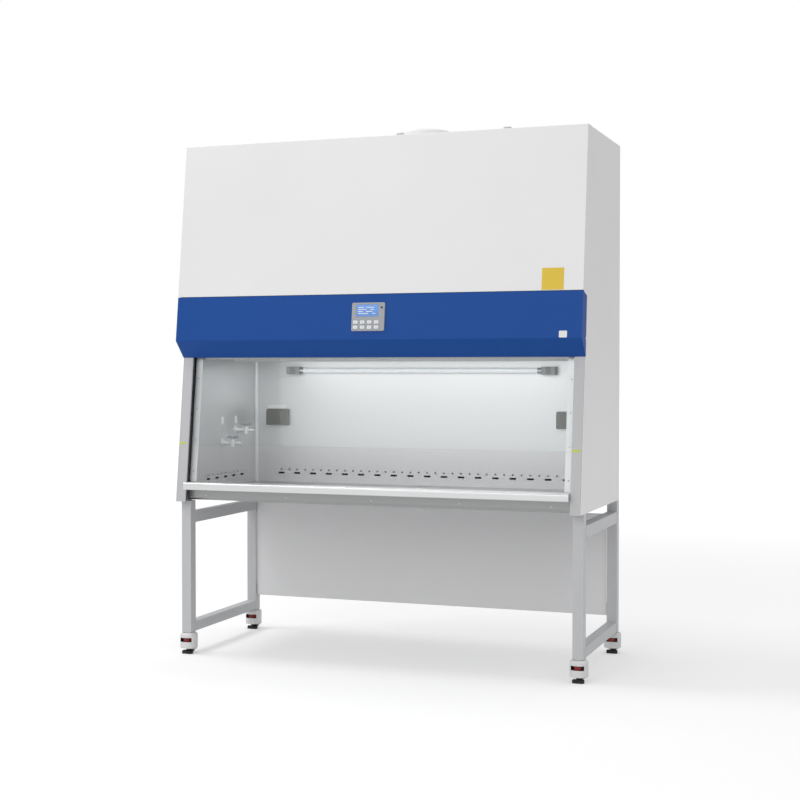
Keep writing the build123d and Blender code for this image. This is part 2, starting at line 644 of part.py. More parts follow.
def sash_clamps():
    """Clamps that hold the glass's upper corners to the belts."""
    top = along(SASH_BOTTOM) + SASH_HEIGHT
    low, high = top - CLAMP_HEIGHT + CLAMP_WALL, top + CLAMP_WALL
    x0, x1 = BELT_X - CLAMP_WIDTH / 2, BELT_X + CLAMP_WIDTH / 2 - 3
    clamp = slanted_block(x0, x1, GLASS_SETBACK - CLAMP_WALL, BELT_DEPTH + CLAMP_WALL + 1, low, high)
    clamp -= slanted_block(x0 - 1, x1 + 1, GLASS_SETBACK, GLASS_BACK, low - 1, top)
    wide, thick = BELT_WIDTH / 2 + BELT_PLAY, BELT / 2 + BELT_PLAY
    clamp -= slanted_block(BELT_X - wide, BELT_X + wide, BELT_DEPTH - thick, BELT_DEPTH + thick, low - 1,
                           high + 1)
    return both_sides(clamp)


def sash_guides():
    """Sash tracks, belt loops, shaft brackets and the drive motor."""
    track = slanted_block(TRACK_X, TRACK_X + TRACK_WIDTH, SHEET, TRACK_DEPTH, along(BODY_BOTTOM + 4),
                          along(TRACK_TOP))
    track -= slanted_block(TRACK_X - 1, GLASS_X + 1, GLASS_SETBACK - GLASS_PLAY, GLASS_BACK + GLASS_PLAY, -50,
                           along(TRACK_TOP + 50))
    low, high = along(LOWER_SHAFT_Z), along(UPPER_SHAFT_Z)
    outer, inner = PULLEY_RADIUS + BELT, PULLEY_RADIUS
    loop = Pos(SHAFT_DEPTH, (low + high) / 2) * Rot(0, 0, 90)
    belt_face = loop * (SlotCenterToCenter(high - low, 2 * outer) - SlotCenterToCenter(high - low, 2 * inner))
    belt = extrude(SLANTED.offset(BELT_X - BELT_WIDTH / 2) * belt_face, amount=BELT_WIDTH)
    brackets = []
    for up, reach in ((low, SIDE_INNER - SHEET), (high, SIDE_INNER)):
        plate_x = TRACK_X - BRACKET
        plate = slanted_block(plate_x, TRACK_X, TRACK_DEPTH - 6, SHAFT_DEPTH + 16, up - 18, up + 18)
        plate += slanted_block(plate_x, reach, TRACK_DEPTH, TRACK_DEPTH + BRACKET, up - 18, up + 18)
        plate -= slanted_cylinder(plate_x - 1, TRACK_X + 1, SHAFT_DEPTH, up, SHAFT_RADIUS + RUNNING)
        plate -= slanted_block(TRACK_X - 30, TRACK_X, 0, GLASS_BACK + GLASS_PLAY, up - 20, up + 20)
        brackets.append(plate)
    solids = both_sides(track) + both_sides(belt)
    for plate in brackets:
        solids += both_sides(plate)
    motor = slanted_cylinder(TRACK_X + 1, SIDE_INNER, SHAFT_DEPTH + 8, high, MOTOR_RADIUS)
    motor -= slanted_cylinder(TRACK_X, TRACK_X + 22, SHAFT_DEPTH, high, SHAFT_RADIUS + RUNNING)
    return solids + [motor]


def belt_shaft(z, end_right):
    """Cross shaft with a belt pulley near each end."""
    up = along(z)
    shaft = slanted_cylinder(-TRACK_X - 2, end_right, SHAFT_DEPTH, up, SHAFT_RADIUS)
    wide = BELT_WIDTH / 2 + 0.5
    for side in (-1, 1):
        x = side * BELT_X
        shaft += slanted_cylinder(x - wide, x + wide, SHAFT_DEPTH, up, PULLEY_RADIUS - RUNNING)
        shaft += slanted_cylinder(x - wide - PULLEY_FLANGE, x - wide, SHAFT_DEPTH, up, PULLEY_RADIUS + BELT)
        shaft += slanted_cylinder(x + wide, x + wide + PULLEY_FLANGE, SHAFT_DEPTH, up, PULLEY_RADIUS + BELT)
    return shaft


def button_place(index):
    """Middle of one button on the control panel."""
    column, row = index % BUTTON_COLUMNS, index // BUTTON_COLUMNS
    return (BUTTON_AT[0] + (column - (BUTTON_COLUMNS - 1) / 2) * BUTTON_PITCH[0],
            BUTTON_AT[1] - (row - (BUTTON_ROWS - 1) / 2) * BUTTON_PITCH[1])


def control_panel():
    """Bezel and housing of the control panel, and its display window."""
    w, h, t = PANEL
    bezel = extrude(RectangleRounded(w, h, PANEL_CORNER), amount=t)
    bezel = fillet(bezel.edges().group_by(Axis.Z)[-1], 1.5)
    body = bezel + Pos(0, 0, -HOUSING[2] / 2) * Box(*HOUSING)
    body -= Pos(*SCREEN_AT, t) * Box(SCREEN[0] + 0.4, SCREEN[1] + 0.4, 2 * SCREEN[2] + 2)
    body -= Pos(*EYE_AT, t) * Cylinder(EYE_RADIUS, 2)
    floor = t + BUTTON_PROUD - BUTTON_DEPTH - BUTTON_ROOM
    for i in range(BUTTON_COLUMNS * BUTTON_ROWS):
        hole = RectangleRounded(BUTTON[0] + 2 * BUTTON_PLAY, BUTTON[1] + 2 * BUTTON_PLAY, 3)
        body -= Pos(*button_place(i), floor) * extrude(hole, amount=40)
    window = Pos(*SCREEN_AT, t - 1 - SCREEN[2] / 2) * Box(*SCREEN)
    return [hood_plane() * body, hood_plane() * window]


def panel_button(index):
    """One push button."""
    top = PANEL[2] + BUTTON_PROUD
    cap = extrude(RectangleRounded(*BUTTON, 2.7), amount=BUTTON_DEPTH)
    cap = fillet(cap.edges().group_by(Axis.Z)[-1], 1.0)
    return hood_plane() * (Pos(*button_place(index), top - BUTTON_DEPTH) * cap)


def uv_lamp():
    """Germicidal tube on the back wall between its two holders."""
    half = LAMP_LENGTH / 2
    y = CHAMBER_BACK - HOLDER[1] / 2
    glass = cylinder_x(-half, half, y, LAMP_Z, LAMP_RADIUS)
    w, d, h = HOLDER
    holder = Pos(half + w / 2, y, LAMP_Z) * Box(w, d, h)
    holder = fillet(holder.edges().filter_by(Axis.Z).group_by(Axis.Y)[0], 6)
    return [glass] + both_sides(holder)


def work_lamp():
    """Lamp bar under the ceiling, with its recessed lens."""
    d, h = WORK_LAMP
    x, y = WALL_X - WORK_LAMP_INSET, WORK_LAMP_Y
    z1 = CHAMBER_TOP - DIFFUSER_DROP
    z0 = z1 - h
    front, back = y - d / 2, y + d / 2
    section = [(front, z1), (back, z1), (back - 3, z0), (back - 6, z0), (back - 7, z0 + 1.5),
               (front + 7, z0 + 1.5), (front + 6, z0), (front + 3, z0)]
    return prism(section, -x, x)


def socket_base(x):
    """Double socket outlet on the back wall with the lugs of its lid hinge."""
    w, d, h = SOCKET
    base = Pos(x, CHAMBER_BACK - d / 2, SOCKET_Z) * Box(w, d, h)
    for side in (-1, 1):
        base -= Pos(x + side * w / 4, CHAMBER_BACK - d, SOCKET_Z) * Rot(90, 0, 0) * Cylinder(OUTLET_RADIUS, 6)
    y, z = lid_hinge()
    top = SOCKET_Z + h / 2
    lug = block(x - w / 2, x - w / 2 + 6, y - 3, CHAMBER_BACK, top + 1.5, z + 3)
    lug += block(x - w / 2, x - w / 2 + 6, CHAMBER_BACK - d, CHAMBER_BACK, top - 1, z + 3)
    pin = cylinder_x(x - w / 2, x + w / 2, y, z, HINGE_PIN)
    return fused(base, lug, Pos(w - 6, 0, 0) * lug, pin)


def lid_hinge():
    """Y and Z of a socket lid's hinge axis."""
    return CHAMBER_BACK - SOCKET[1] - 1.0, SOCKET_Z + SOCKET[2] / 2 + HINGE_RADIUS + 1.0


def sockets():
    """Both socket outlets."""
    return [socket_base(x) for x in SOCKET_X]


def socket_lid(x):
    """Hinged splash lid of a socket, a ribbed shell with its hinge barrel."""
    w, d, h = SOCKET
    y1 = CHAMBER_BACK - d - LID_CLEAR
    y0 = y1 - LID_DEPTH
    z0, z1 = SOCKET_Z - h / 2, SOCKET_Z + h / 2
    lid = block(x - w / 2, x + w / 2, y0, y1, z0, z1)
    lid = fillet(lid.edges().group_by(Axis.Y)[0], 2)
    room = w / 2 - LID_WALL
    lid -= block(x - room, x + room, y0 + LID_WALL, y1 + 1, z0 + LID_WALL, z1 - LID_WALL)
    for i in range(LID_RIBS):
        rib_x = x + (i - (LID_RIBS - 1) / 2) * w / (LID_RIBS + 1)
        lid += block(rib_x - 2, rib_x + 2, y0 - 1.5, y0 + 1, z0 + 8, z1 - 8)
    hinge_y, hinge_z = lid_hinge()
    lid += block(x - w / 2 + 7, x + w / 2 - 7, hinge_y - HINGE_RADIUS, y1, z1 - 3, hinge_z)
    lid += cylinder_x(x - w / 2 + 7, x + w / 2 - 7, hinge_y, hinge_z, HINGE_RADIUS)
    return lid - cylinder_x(x - w / 2, x + w / 2, hinge_y, hinge_z, HINGE_PIN + RUNNING)


def tap_body(y, z):
    """Service tap on the left wall: flange, pipe, valve body and barbed nozzle."""
    x = -WALL_X
    centre = x + TAP_REACH
    body = cylinder_x(x, x + 4, y, z, TAP_FLANGE) + cylinder_x(x, centre, y, z, TAP_PIPE)
    body += cylinder_z(centre, y, z - 16, z + 18, TAP_BODY)
    body += cylinder_x(centre, centre + NOZZLE, y, z, 4.5)
    for i in range(3):
        barb = Pos(centre + NOZZLE - 6 - 7 * i, y, z) * Rot(0, 90, 0) * Cone(6.5, 4.5, 7)
        body += barb
    return body - cylinder_z(centre, y, z + 8, z + 30, TAP_STEM + RUNNING)


def taps():
    """Both service taps."""
    return [tap_body(y, z) for y, z in TAPS]


def tap_handle(y, z):
    """Quarter-turn lever of a service tap with its stem."""
    centre = -WALL_X + TAP_REACH
    handle = cylinder_z(centre, y, z + 9, z + 30, TAP_STEM) + cylinder_z(centre, y, z + 18 + SEAT, z + 32, 10)
    lever = Pos(centre, y, z + 28) * Box(*TAP_LEVER)
    return handle + fillet(lever.edges().filter_by(Axis.Z), 5)


def stand_frame():
    """Legs, side rails and rear cross rails of square tube."""
    x0, x1 = SIDE_X - TUBE, SIDE_X
    solids = []
    for y in LEG_Y:
        leg = tube(x0, x1, y - TUBE / 2, y + TUBE / 2, LEG_BOTTOM, BODY_BOTTOM, 2)
        leg += block(x0, x1, y - TUBE / 2, y + TUBE / 2, LEG_BOTTOM, LEG_BOTTOM + LEG_PLATE)
        leg -= cylinder_z(LEG_X, y, LEG_BOTTOM - 1, LEG_BOTTOM + LEG_PLATE + 1, SHAFT_RADIUS + RUNNING)
        solids += both_sides(leg)
    for z, height in ((LOWER_RAIL_Z, RAIL_HEIGHT), (UPPER_RAIL_Z, UPPER_RAIL_HEIGHT)):
        solids += both_sides(tube(x0, x1, LEG_Y[0] + TUBE / 2, LEG_Y[1] - TUBE / 2, z, z + height, 1))
    for z in CROSS_Z:
        solids.append(tube(-x0, x0, DEPTH - CROSS_DEPTH, DEPTH, z, z + RAIL_HEIGHT, 0))
    return solids


def stand_back_panel():
    """Rear panel of the stand with folded upper and lower edges."""
    x = SIDE_X - TUBE - BACK_PANEL_GAP
    half = SHEET / 2
    y = DEPTH - CROSS_DEPTH - half
    low, high = BACK_PANEL_Z[0] + half, BACK_PANEL_Z[1] - half
    return folded([(y + 12, low), (y, low), (y, high), (y + 12, high)], 2, SHEET, -x, x)


def caster_housing():
    """Caster's moulded housing with the dial window, wheel bay and swivel stem."""
    body = Pos(0, 0, CASTER_BOTTOM) * extrude(RectangleRounded(CASTER, CASTER, CASTER_CORNER),
                                             amount=CASTER_TOP - CASTER_BOTTOM)
    body = fillet(body.edges().group_by(Axis.Z)[-1], 11)
    reach = CASTER / 2
    body -= block(-WINDOW_WIDTH / 2, WINDOW_WIDTH / 2, -reach - 1, PAD_Y + DIAL_RADIUS + 2, *WINDOW_Z)
    wheel_z = CASTER_WHEEL_RADIUS + WHEEL_LIFT
    bay = CASTER_WHEEL_WIDTH / 2 + WHEEL_PLAY
    front, back = CASTER_WHEEL_Y - 12, CASTER_WHEEL_Y + 12
    body += block(-bay - EAR, bay + EAR, front, back, wheel_z - 8, CASTER_BOTTOM + 6)
    body -= block(-bay, bay, CASTER_WHEEL_Y - CASTER_WHEEL_RADIUS - 2, reach + 1, 0,
                  wheel_z + CASTER_WHEEL_RADIUS + 3)
    body -= cylinder_z(0, PAD_Y, CASTER_BOTTOM - 1, PAD_BORE_TOP, SHAFT_RADIUS + RUNNING)
    body += cylinder_x(-bay - EAR, bay + EAR, CASTER_WHEEL_Y, wheel_z, AXLE_RADIUS)
    body += cylinder_z(0, 0, CASTER_TOP - 4, LEG_BOTTOM - SWIVEL_CLEAR, WASHER_RADIUS)
    return body + cylinder_z(0, 0, CASTER_TOP, CASTER_STEM, SHAFT_RADIUS)


def caster_wheel():
    """Caster's wheel on its fixed axle, with a crowned tread."""
    z = CASTER_WHEEL_RADIUS + WHEEL_LIFT
    half = CASTER_WHEEL_WIDTH / 2
    wheel = cylinder_x(-half, half, CASTER_WHEEL_Y, z, CASTER_WHEEL_RADIUS)
    wheel = fillet(wheel.edges(), 4)
    return wheel - cylinder_x(-half - 1, half + 1, CASTER_WHEEL_Y, z, AXLE_RADIUS + RUNNING)


def caster_dial():
    """Red levelling dial round the pad's screw, with finger grips."""
    z0, z1 = WINDOW_Z[0] + SEAT, WINDOW_Z[1] - SEAT
    dial = cylinder_z(0, PAD_Y, z0, z1, DIAL_RADIUS)
    for i in range(DIAL_GRIPS):
        angle = 2 * pi * i / DIAL_GRIPS
        dial -= cylinder_z(DIAL_RADIUS * cos(angle), PAD_Y + DIAL_RADIUS * sin(angle), z0 - 1, z1 + 1, 1.2)
    return dial - cylinder_z(0, PAD_Y, z0 - 1, z1 + 1, SHAFT_RADIUS + RUNNING)


def caster_pad():
    """Rubber levelling pad on its screw."""
    foot = extrude(RectangleRounded(PAD[0], PAD[1], 8), amount=PAD[2])
    foot = fillet(foot.edges().group_by(Axis.Z)[-1], 2.5)
    return Pos(0, PAD_Y, 0) * foot + cylinder_z(0, PAD_Y, PAD[2] - 1, PAD_STEM_TOP, SHAFT_RADIUS)


def save(name, shapes):
    """Writes one node, moved to the part's origin."""
    solids = shapes if isinstance(shapes, list) else [shapes]
    moved = [Pos(0, -Y_CENTRE, 0) * solid for s in solids for solid in s.solids()]
    whole = moved[0] if len(moved) == 1 else Compound(children=moved)
    export_step(whole, f"parts/{name}.step")


def main():
    os.makedirs("parts", exist_ok=True)
    save("side_panels", side_panels())
    save("front_pillars", front_pillars())
    save("roof_panel", roof_panel())
    save("back_panel", back_panel())
    save("upper_front_panel", upper_front_panel())
    save("control_hood", control_hood())
    save("exhaust_collar", exhaust_collar())
    save("liner_side_walls", liner_side_walls())
    save("liner_back_wall", liner_back_wall())
    save("base_pan", base_pan())
    save("work_tray", work_tray())
    save("armrest", armrest())
    save("front_grille", front_grille())
    save("diffuser", diffuser())
    save("supply_filter", supply_filter())
    save("exhaust_filter", exhaust_filter())
    save("plenum_box", plenum_box())
    save("blower_housing", blower_housing())
    save("blower_wheel", blower_wheel())
    save("electrics", electrics())
    save("sash_glass", sash_glass())
    save("sash_clamps", sash_clamps())
    save("sash_guides", sash_guides())
    save("sash_drive_shaft", belt_shaft(UPPER_SHAFT_Z, TRACK_X + 20))
    save("sash_idler_shaft", belt_shaft(LOWER_SHAFT_Z, TRACK_X + 2))
    save("control_panel", control_panel())
    for i in range(BUTTON_COLUMNS * BUTTON_ROWS):
        save(f"panel_button_{i + 1}", panel_button(i))
    save("uv_lamp", uv_lamp())
    save("work_lamp", work_lamp())
    save("sockets", sockets())
    for name, x in zip(("left", "right"), SOCKET_X):
        save(f"{name}_socket_lid", socket_lid(x))
    save("taps", taps())
    for name, place in zip(("front", "rear"), TAPS):
        save(f"{name}_tap_handle", tap_handle(*place))
    save("stand_frame", stand_frame())
    save("stand_back_panel", stand_back_panel())
    for depth, y in zip(("front", "rear"), LEG_Y):
        for side, x in (("left", -LEG_X), ("right", LEG_X)):
            at = Pos(x, y, 0)
            save(f"{side}_{depth}_caster", at * caster_housing())
            save(f"{side}_{depth}_wheel", at * caster_wheel())
            save(f"{side}_{depth}_dial", at * caster_dial())
            save(f"{side}_{depth}_pad", at * caster_pad())


main()
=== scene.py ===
import logging
import math
from dataclasses import dataclass, field
from enum import Enum
from typing import Optional, Union

import bmesh
import bpy
import numpy as np
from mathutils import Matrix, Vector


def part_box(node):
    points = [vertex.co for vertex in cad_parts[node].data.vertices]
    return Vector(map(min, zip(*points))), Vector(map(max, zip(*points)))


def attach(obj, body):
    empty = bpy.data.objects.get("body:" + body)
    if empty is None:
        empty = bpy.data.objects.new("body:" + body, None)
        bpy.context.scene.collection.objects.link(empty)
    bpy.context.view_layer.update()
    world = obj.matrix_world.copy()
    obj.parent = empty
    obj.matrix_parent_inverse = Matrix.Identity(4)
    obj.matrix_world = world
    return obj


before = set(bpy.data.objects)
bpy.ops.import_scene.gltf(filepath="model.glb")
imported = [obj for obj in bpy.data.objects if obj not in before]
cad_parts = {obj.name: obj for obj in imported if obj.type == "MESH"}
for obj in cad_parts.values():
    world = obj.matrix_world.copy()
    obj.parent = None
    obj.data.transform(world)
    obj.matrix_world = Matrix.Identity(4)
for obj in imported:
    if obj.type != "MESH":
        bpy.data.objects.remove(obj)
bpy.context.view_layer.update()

log = logging.getLogger("cabinet")

Triple = tuple[float, float, float]
Mix = Union["Wire", float]

# The drawing's y = 0 lies this far behind the row's origin, in metres
FRONT_DATUM = -0.386
BODY_BOTTOM = 0.702
SLANT = math.radians(7.0)
HOOD_STEP = 0.0835


class Along(Enum):
    """Direction that a brushed or drawn surface was worked in."""

    WIDTH = 0
    DEPTH = 1
    HEIGHT = 2


def linear(code: str) -> Triple:
    """Turns a colour written as six hex digits into linear values.

    Args:
        code: Six hex digits, red first.

    Returns:
        Linear red, green and blue.
    """
    parts = np.array([int(code[i:i + 2], 16) for i in (0, 2, 4)]) / 255
    values = np.where(parts <= 0.04045, parts / 12.92, ((parts + 0.055) / 1.055) ** 2.4)
    return tuple(float(v) for v in values)


def front_y(z: float, offset: float = 0.0) -> float:
    """Y of the pillar face at height z, moved back by offset."""
    return FRONT_DATUM + (z - BODY_BOTTOM) * math.tan(SLANT) + offset


def hood_y(z: float, offset: float = 0.0) -> float:
    """Y of the hood face at height z, moved back by offset."""
    return front_y(z, offset - HOOD_STEP)


class Wire:
    """A number that varies over a surface: a socket that takes part in sums."""

    def __init__(self, graph: "Graph", socket: bpy.types.NodeSocket) -> None:
        """Keeps the graph and the socket."""
        self.graph = graph
        self.socket = socket

    def _maths(self, operation: str, first: Mix, second: Optional[Mix] = None,
               third: Optional[Mix] = None) -> "Wire":
        """Adds one Math node.

        Args:
            operation: Name of the Math node's operation.
            first: First number.
            second: Second number, if the operation takes one.
            third: Third number, if the operation takes one.

        Returns:
            The result.
        """
        values = {i: v for i, v in enumerate((first, second, third)) if v is not None}
        node = self.graph.node("ShaderNodeMath", {"operation": operation}, values)
        return Wire(self.graph, node.outputs[0])

    def __add__(self, other: Mix) -> "Wire":
        """Sum."""
        return self._maths("ADD", self, other)

    def __radd__(self, other: float) -> "Wire":
        """Sum, number first."""
        return self._maths("ADD", other, self)

    def __sub__(self, other: Mix) -> "Wire":
        """Difference."""
        return self._maths("SUBTRACT", self, other)

    def __rsub__(self, other: float) -> "Wire":
        """Difference, number first."""
        return self._maths("SUBTRACT", other, self)

    def __mul__(self, other: Mix) -> "Wire":
        """Product."""
        return self._maths("MULTIPLY", self, other)

    def __rmul__(self, other: float) -> "Wire":
        """Product, number first."""
        return self._maths("MULTIPLY", other, self)

    def __truediv__(self, other: Mix) -> "Wire":
        """Quotient."""
        return self._maths("DIVIDE", self, other)

    def __rtruediv__(self, other: float) -> "Wire":
        """Quotient, number first."""
        return self._maths("DIVIDE", other, self)

    def __mod__(self, other: float) -> "Wire":
        """Remainder that is never negative."""
        return self._maths("FLOORED_MODULO", self, other)

    def __pow__(self, other: float) -> "Wire":
        """Power."""
        return self._maths("POWER", self, other)

    def __abs__(self) -> "Wire":
        """Size without sign."""
        return self._maths("ABSOLUTE", self)

    def root(self) -> "Wire":
        """Square root."""
        return self._maths("SQRT", self)

    def above(self, limit: Mix) -> "Wire":
        """1 where the value is above the limit, else 0."""
        return self._maths("GREATER_THAN", self, limit)

    def below(self, limit: Mix) -> "Wire":
        """1 where the value is below the limit, else 0."""
        return self._maths("LESS_THAN", self, limit)

    def between(self, low: float, high: float) -> "Wire":
        """1 between two limits, else 0."""
        return self.above(low) * self.below(high)

    def eased(self, low: float, high: float) -> "Wire":
        """Goes smoothly from 0 at low to 1 at high.

        Args:
            low: Value that gives 0.
            high: Value that gives 1.

        Returns:
            The eased value.
        """
        node = self.graph.node("ShaderNodeMapRange", {"interpolation_type": "SMOOTHSTEP"},
                               {0: self, 1: low, 2: high, 3: 0.0, 4: 1.0})
        return Wire(self.graph, node.outputs[0])


class Graph:
    """Builds the nodes of one material."""

    def __init__(self, name: str) -> None:
        """Makes an empty material.

        Args:
            name: The material's name.
        """
        self.material = bpy.data.materials.new(name)
        self.material.use_nodes = True
        self.tree = self.material.node_tree
        self.tree.nodes.clear()
        self.output = self.tree.nodes.new("ShaderNodeOutputMaterial")
        self._point: Optional[bpy.types.NodeSocket] = None

    def node(self, kind: str, settings: Optional[dict] = None, sockets: Optional[dict] = None) -> bpy.types.Node:
        """Adds a node, sets it up and fills or links its sockets.

        Args:
            kind: The node's type name.
            settings: Values set on the node itself; "stops" fills a ramp.
            sockets: Values or links by the socket's name or number.

        Returns:
            The node.
        """
        made = self.tree.nodes.new(kind)
        for key, value in (settings or {}).items():
            if key == "stops":
                self._ramp(made.color_ramp, value)
            else:
                setattr(made, key, value)
        for key, value in (sockets or {}).items():
            self.put(made.inputs[key], value)
        return made

    def put(self, socket: bpy.types.NodeSocket, value: object) -> None:
        """Links a socket, or sets its own value.

        Args:
            socket: The socket to fill.
            value: A Wire, a socket, a number or a colour.
        """
        if isinstance(value, Wire):
            self.tree.links.new(value.socket, socket)
        elif isinstance(value, bpy.types.NodeSocket):
            self.tree.links.new(value, socket)
        elif isinstance(value, tuple) and socket.type == "RGBA" and len(value) == 3:
            socket.default_value = (*value, 1.0)
        else:
            socket.default_value = value

    @staticmethod
    def _ramp(ramp: bpy.types.ColorRamp, stops: list[tuple[float, Triple]]) -> None:
        """Fills a colour ramp with places and colours."""
        while len(ramp.elements) < len(stops):
            ramp.elements.new(0.5)
        for element, (place, colour) in zip(ramp.elements, stops):
            element.position = place
            element.color = (*colour, 1.0)

    def point(self) -> bpy.types.NodeSocket:
        """Object coordinates of the shaded point."""
        if self._point is None:
            self._point = self.node("ShaderNodeTexCoord").outputs["Object"]
        return self._point

    def axes(self) -> tuple[Wire, Wire, Wire]:
        """The shaded point's x, y and z, in metres."""
        split = self.node("ShaderNodeSeparateXYZ", None, {0: self.point()})
        return tuple(Wire(self, split.outputs[i]) for i in range(3))

    def noise(self, scale: float, detail: float = 2.0, stretch: Triple = (1.0, 1.0, 1.0),
              rough: float = 0.5) -> Wire:
        """Smooth noise from 0 to 1 on object coordinates.

        Args:
            scale: Cells in a metre.
            detail: Number of finer layers.
            stretch: Factor on the scale along each axis.
            rough: Strength of the finer layers.

        Returns:
            The noise.
        """
        place = self.node("ShaderNodeMapping", None,
                          {"Vector": self.point(), "Scale": tuple(scale * s for s in stretch)})
        made = self.node("ShaderNodeTexNoise", {"noise_dimensions": "3D"},
                         {"Vector": place.outputs[0], "Scale": 1.0, "Detail": detail, "Roughness": rough})
        return Wire(self, made.outputs[0])

    def blend(self, share: Mix, first: object, second: object) -> bpy.types.NodeSocket:
        """Mixes two colours.

        Args:
            share: Share of the second colour.
            first: Colour at 0.
            second: Colour at 1.

        Returns:
            The mixed colour's socket.
        """
        made = self.node("ShaderNodeMix", {"data_type": "RGBA"}, {0: share, 6: first, 7: second})
        return made.outputs[2]

    def relief(self, height: Wire, depth: float, strength: float = 1.0) -> bpy.types.NodeSocket:
        """Turns a height from 0 to 1 into a normal.

        Args:
            height: The relief's height.
            depth: Height of 1, in metres.
            strength: Share of the relief that shows.

        Returns:
            The normal's socket.
        """
        made = self.node("ShaderNodeBump", None, {"Height": height, "Distance": depth, "Strength": strength})
        return made.outputs[0]

    def surface(self, **sockets: object) -> bpy.types.Node:
        """Adds the main shader. Underscores in names stand for spaces."""
        return self.node("ShaderNodeBsdfPrincipled", None, {k.replace("_", " "): v for k, v in sockets.items()})

    def finish(self, shader: bpy.types.Node) -> bpy.types.Material:
        """Links the shader to the output and gives back the material."""
        self.tree.links.new(shader.outputs[0], self.output.inputs[0])
        return self.material


@dataclass(frozen=True)
class Finish:
    """A finish that any piece can get; each kind draws its own nodes."""

    name: str

    def material(self) -> bpy.types.Material:
        """The finish's material, made once."""
        label = f"{self.name}_finish"
        found = bpy.data.materials.get(label)
        return found if found is not None else self.draw(Graph(label))

    def draw(self, graph: Graph) -> bpy.types.Material:
        """Draws the finish's nodes.

        Args:
            graph: An empty graph.

        Returns:
            The material.
        """
        raise NotImplementedError


@dataclass(frozen=True)
class PowderCoat(Finish):
    """Satin powder paint on sheet: fine orange peel, faint drift of tone."""

    colour: str = "ececec"
    roughness: float = 0.42
    peel: float = 0.00006
    drift: float = 0.03
    gloss: float = 0.45

    def draw(self, graph: Graph) -> bpy.types.Material:
        """Peel is two layers of noise; tone drifts by a slow noise."""
        base = np.array(linear(self.colour))
        slow = graph.noise(2.3, 3.0)
        peel = graph.noise(420.0, 2.0) * 0.7 + graph.noise(1300.0, 1.0) * 0.3
        tone = graph.blend(slow, tuple(base * (1 - self.drift)), tuple(np.minimum(base * (1 + self.drift), 1.0)))
        rough = self.roughness + graph.noise(14.0, 3.0) * 0.08 - 0.04
        shader = graph.surface(Base_Color=tone, Roughness=rough,
                               Normal=graph.relief(peel, self.peel), Specular_IOR_Level=self.gloss)
        return graph.finish(shader)


@dataclass(frozen=True)
class BrushedSteel(Finish):
    """Stainless sheet with fine brush lines along one direction."""

    colour: str = "c4c5c6"
    along: Along = Along.WIDTH
    roughness: float = 0.36
    depth: float = 0.00002
    metal: float = 1.0
    # Height below which painted shade darkens the tone; 0 paints none.
    painted_shade_below: float = 0.0

    def draw(self, graph: Graph) -> bpy.types.Material:
        """Brush lines are noise stretched fifty times or more; below a height the tone is darkened as painted
        shade under the rail's nose.
        """
        stretch = [1.0, 1.0, 1.0]
        stretch[self.along.value] = 0.012
        fine = graph.noise(1500.0, 2.0, tuple(stretch))
        broad = graph.noise(260.0, 3.0, tuple(stretch))
        cloud = graph.noise(3.0, 3.0)
        base = np.array(linear(self.colour))
        lines = fine * 0.6 + broad * 0.4
        tone = graph.blend(lines, tuple(base * 0.86), tuple(np.minimum(base * 1.12, 1.0)))
        tone = graph.blend(cloud * 0.25, tone, tuple(base * 0.93))
        # Painted shade: below this height the apron is darkened for the shadow under the rail's nose.
        if self.painted_shade_below:
            tone = graph.blend(graph.axes()[2].below(self.painted_shade_below), tone, tuple(base * 0.48))
        rough = lines * 0.16 + cloud * 0.06 + (self.roughness - 0.1)
        shader = graph.surface(Base_Color=tone, Metallic=self.metal, Roughness=rough,
                               Normal=graph.relief(lines, self.depth))
        return graph.finish(shader)


@dataclass(frozen=True)
class ZincSheet(Finish):
    """Galvanised sheet with its patchwork of crystals."""

    colour: str = "a9adb0"

    def draw(self, graph: Graph) -> bpy.types.Material:
        """Each crystal is one cell with a tone of its own."""
        cells = graph.node("ShaderNodeTexVoronoi", {"feature": "F1"}, {"Vector": graph.point(), "Scale": 70.0})
        crystal = Wire(graph, graph.node("ShaderNodeSeparateColor", None, {0: cells.outputs["Color"]}).outputs[0])
        base = np.array(linear(self.colour))
        tone = graph.blend(crystal, tuple(base * 0.8), tuple(np.minimum(base * 1.15, 1.0)))
        shader = graph.surface(Base_Color=tone, Metallic=0.9, Roughness=0.38 + crystal * 0.18,
                               Normal=graph.relief(graph.noise(500.0), 0.00004))
        return graph.finish(shader)


@dataclass(frozen=True)
class Moulding(Finish):
    """Moulded plastic or rubber with a fine grain."""

    colour: str = "e8e8e8"
    roughness: float = 0.45
    grain: float = 0.00005
    scale: float = 900.0
    coat: float = 0.0

    def draw(self, graph: Graph) -> bpy.types.Material:
        """Grain is fine noise; tone drifts a little."""
        base = np.array(linear(self.colour))
        grain = graph.noise(self.scale, 3.0, rough=0.6)
        tone = graph.blend(graph.noise(30.0, 2.0), tuple(base * 0.94), tuple(np.minimum(base * 1.05, 1.0)))
        rough = self.roughness + grain * 0.1 - 0.05
        shader = graph.surface(Base_Color=tone, Roughness=rough, Coat_Weight=self.coat,
                               Normal=graph.relief(grain, self.grain))
        return graph.finish(shader)


@dataclass(frozen=True)
class Pane(Finish):
    """Clear toughened glass, seen through at every angle but the flattest."""

    tint: str = "fdfefe"

    def draw(self, graph: Graph) -> bpy.types.Material:
        """A gloss layer over a clear one, shared by the angle of view."""
        rim = graph.node("ShaderNodeFresnel", None, {"IOR": 1.5})
        smear = graph.noise(6.0, 3.0)
        gloss = graph.surface(Base_Color=linear("f4f8f7"), Roughness=smear * 0.04 + 0.01, Metallic=1.0)
        clear = graph.node("ShaderNodeBsdfTransparent", None, {0: linear(self.tint)})
        share = Wire(graph, rim.outputs[0]) * 0.4 + smear * 0.005
        mixed = graph.node("ShaderNodeMixShader", None, {0: share, 1: clear.outputs[0], 2: gloss.outputs[0]})
        return graph.finish(mixed)


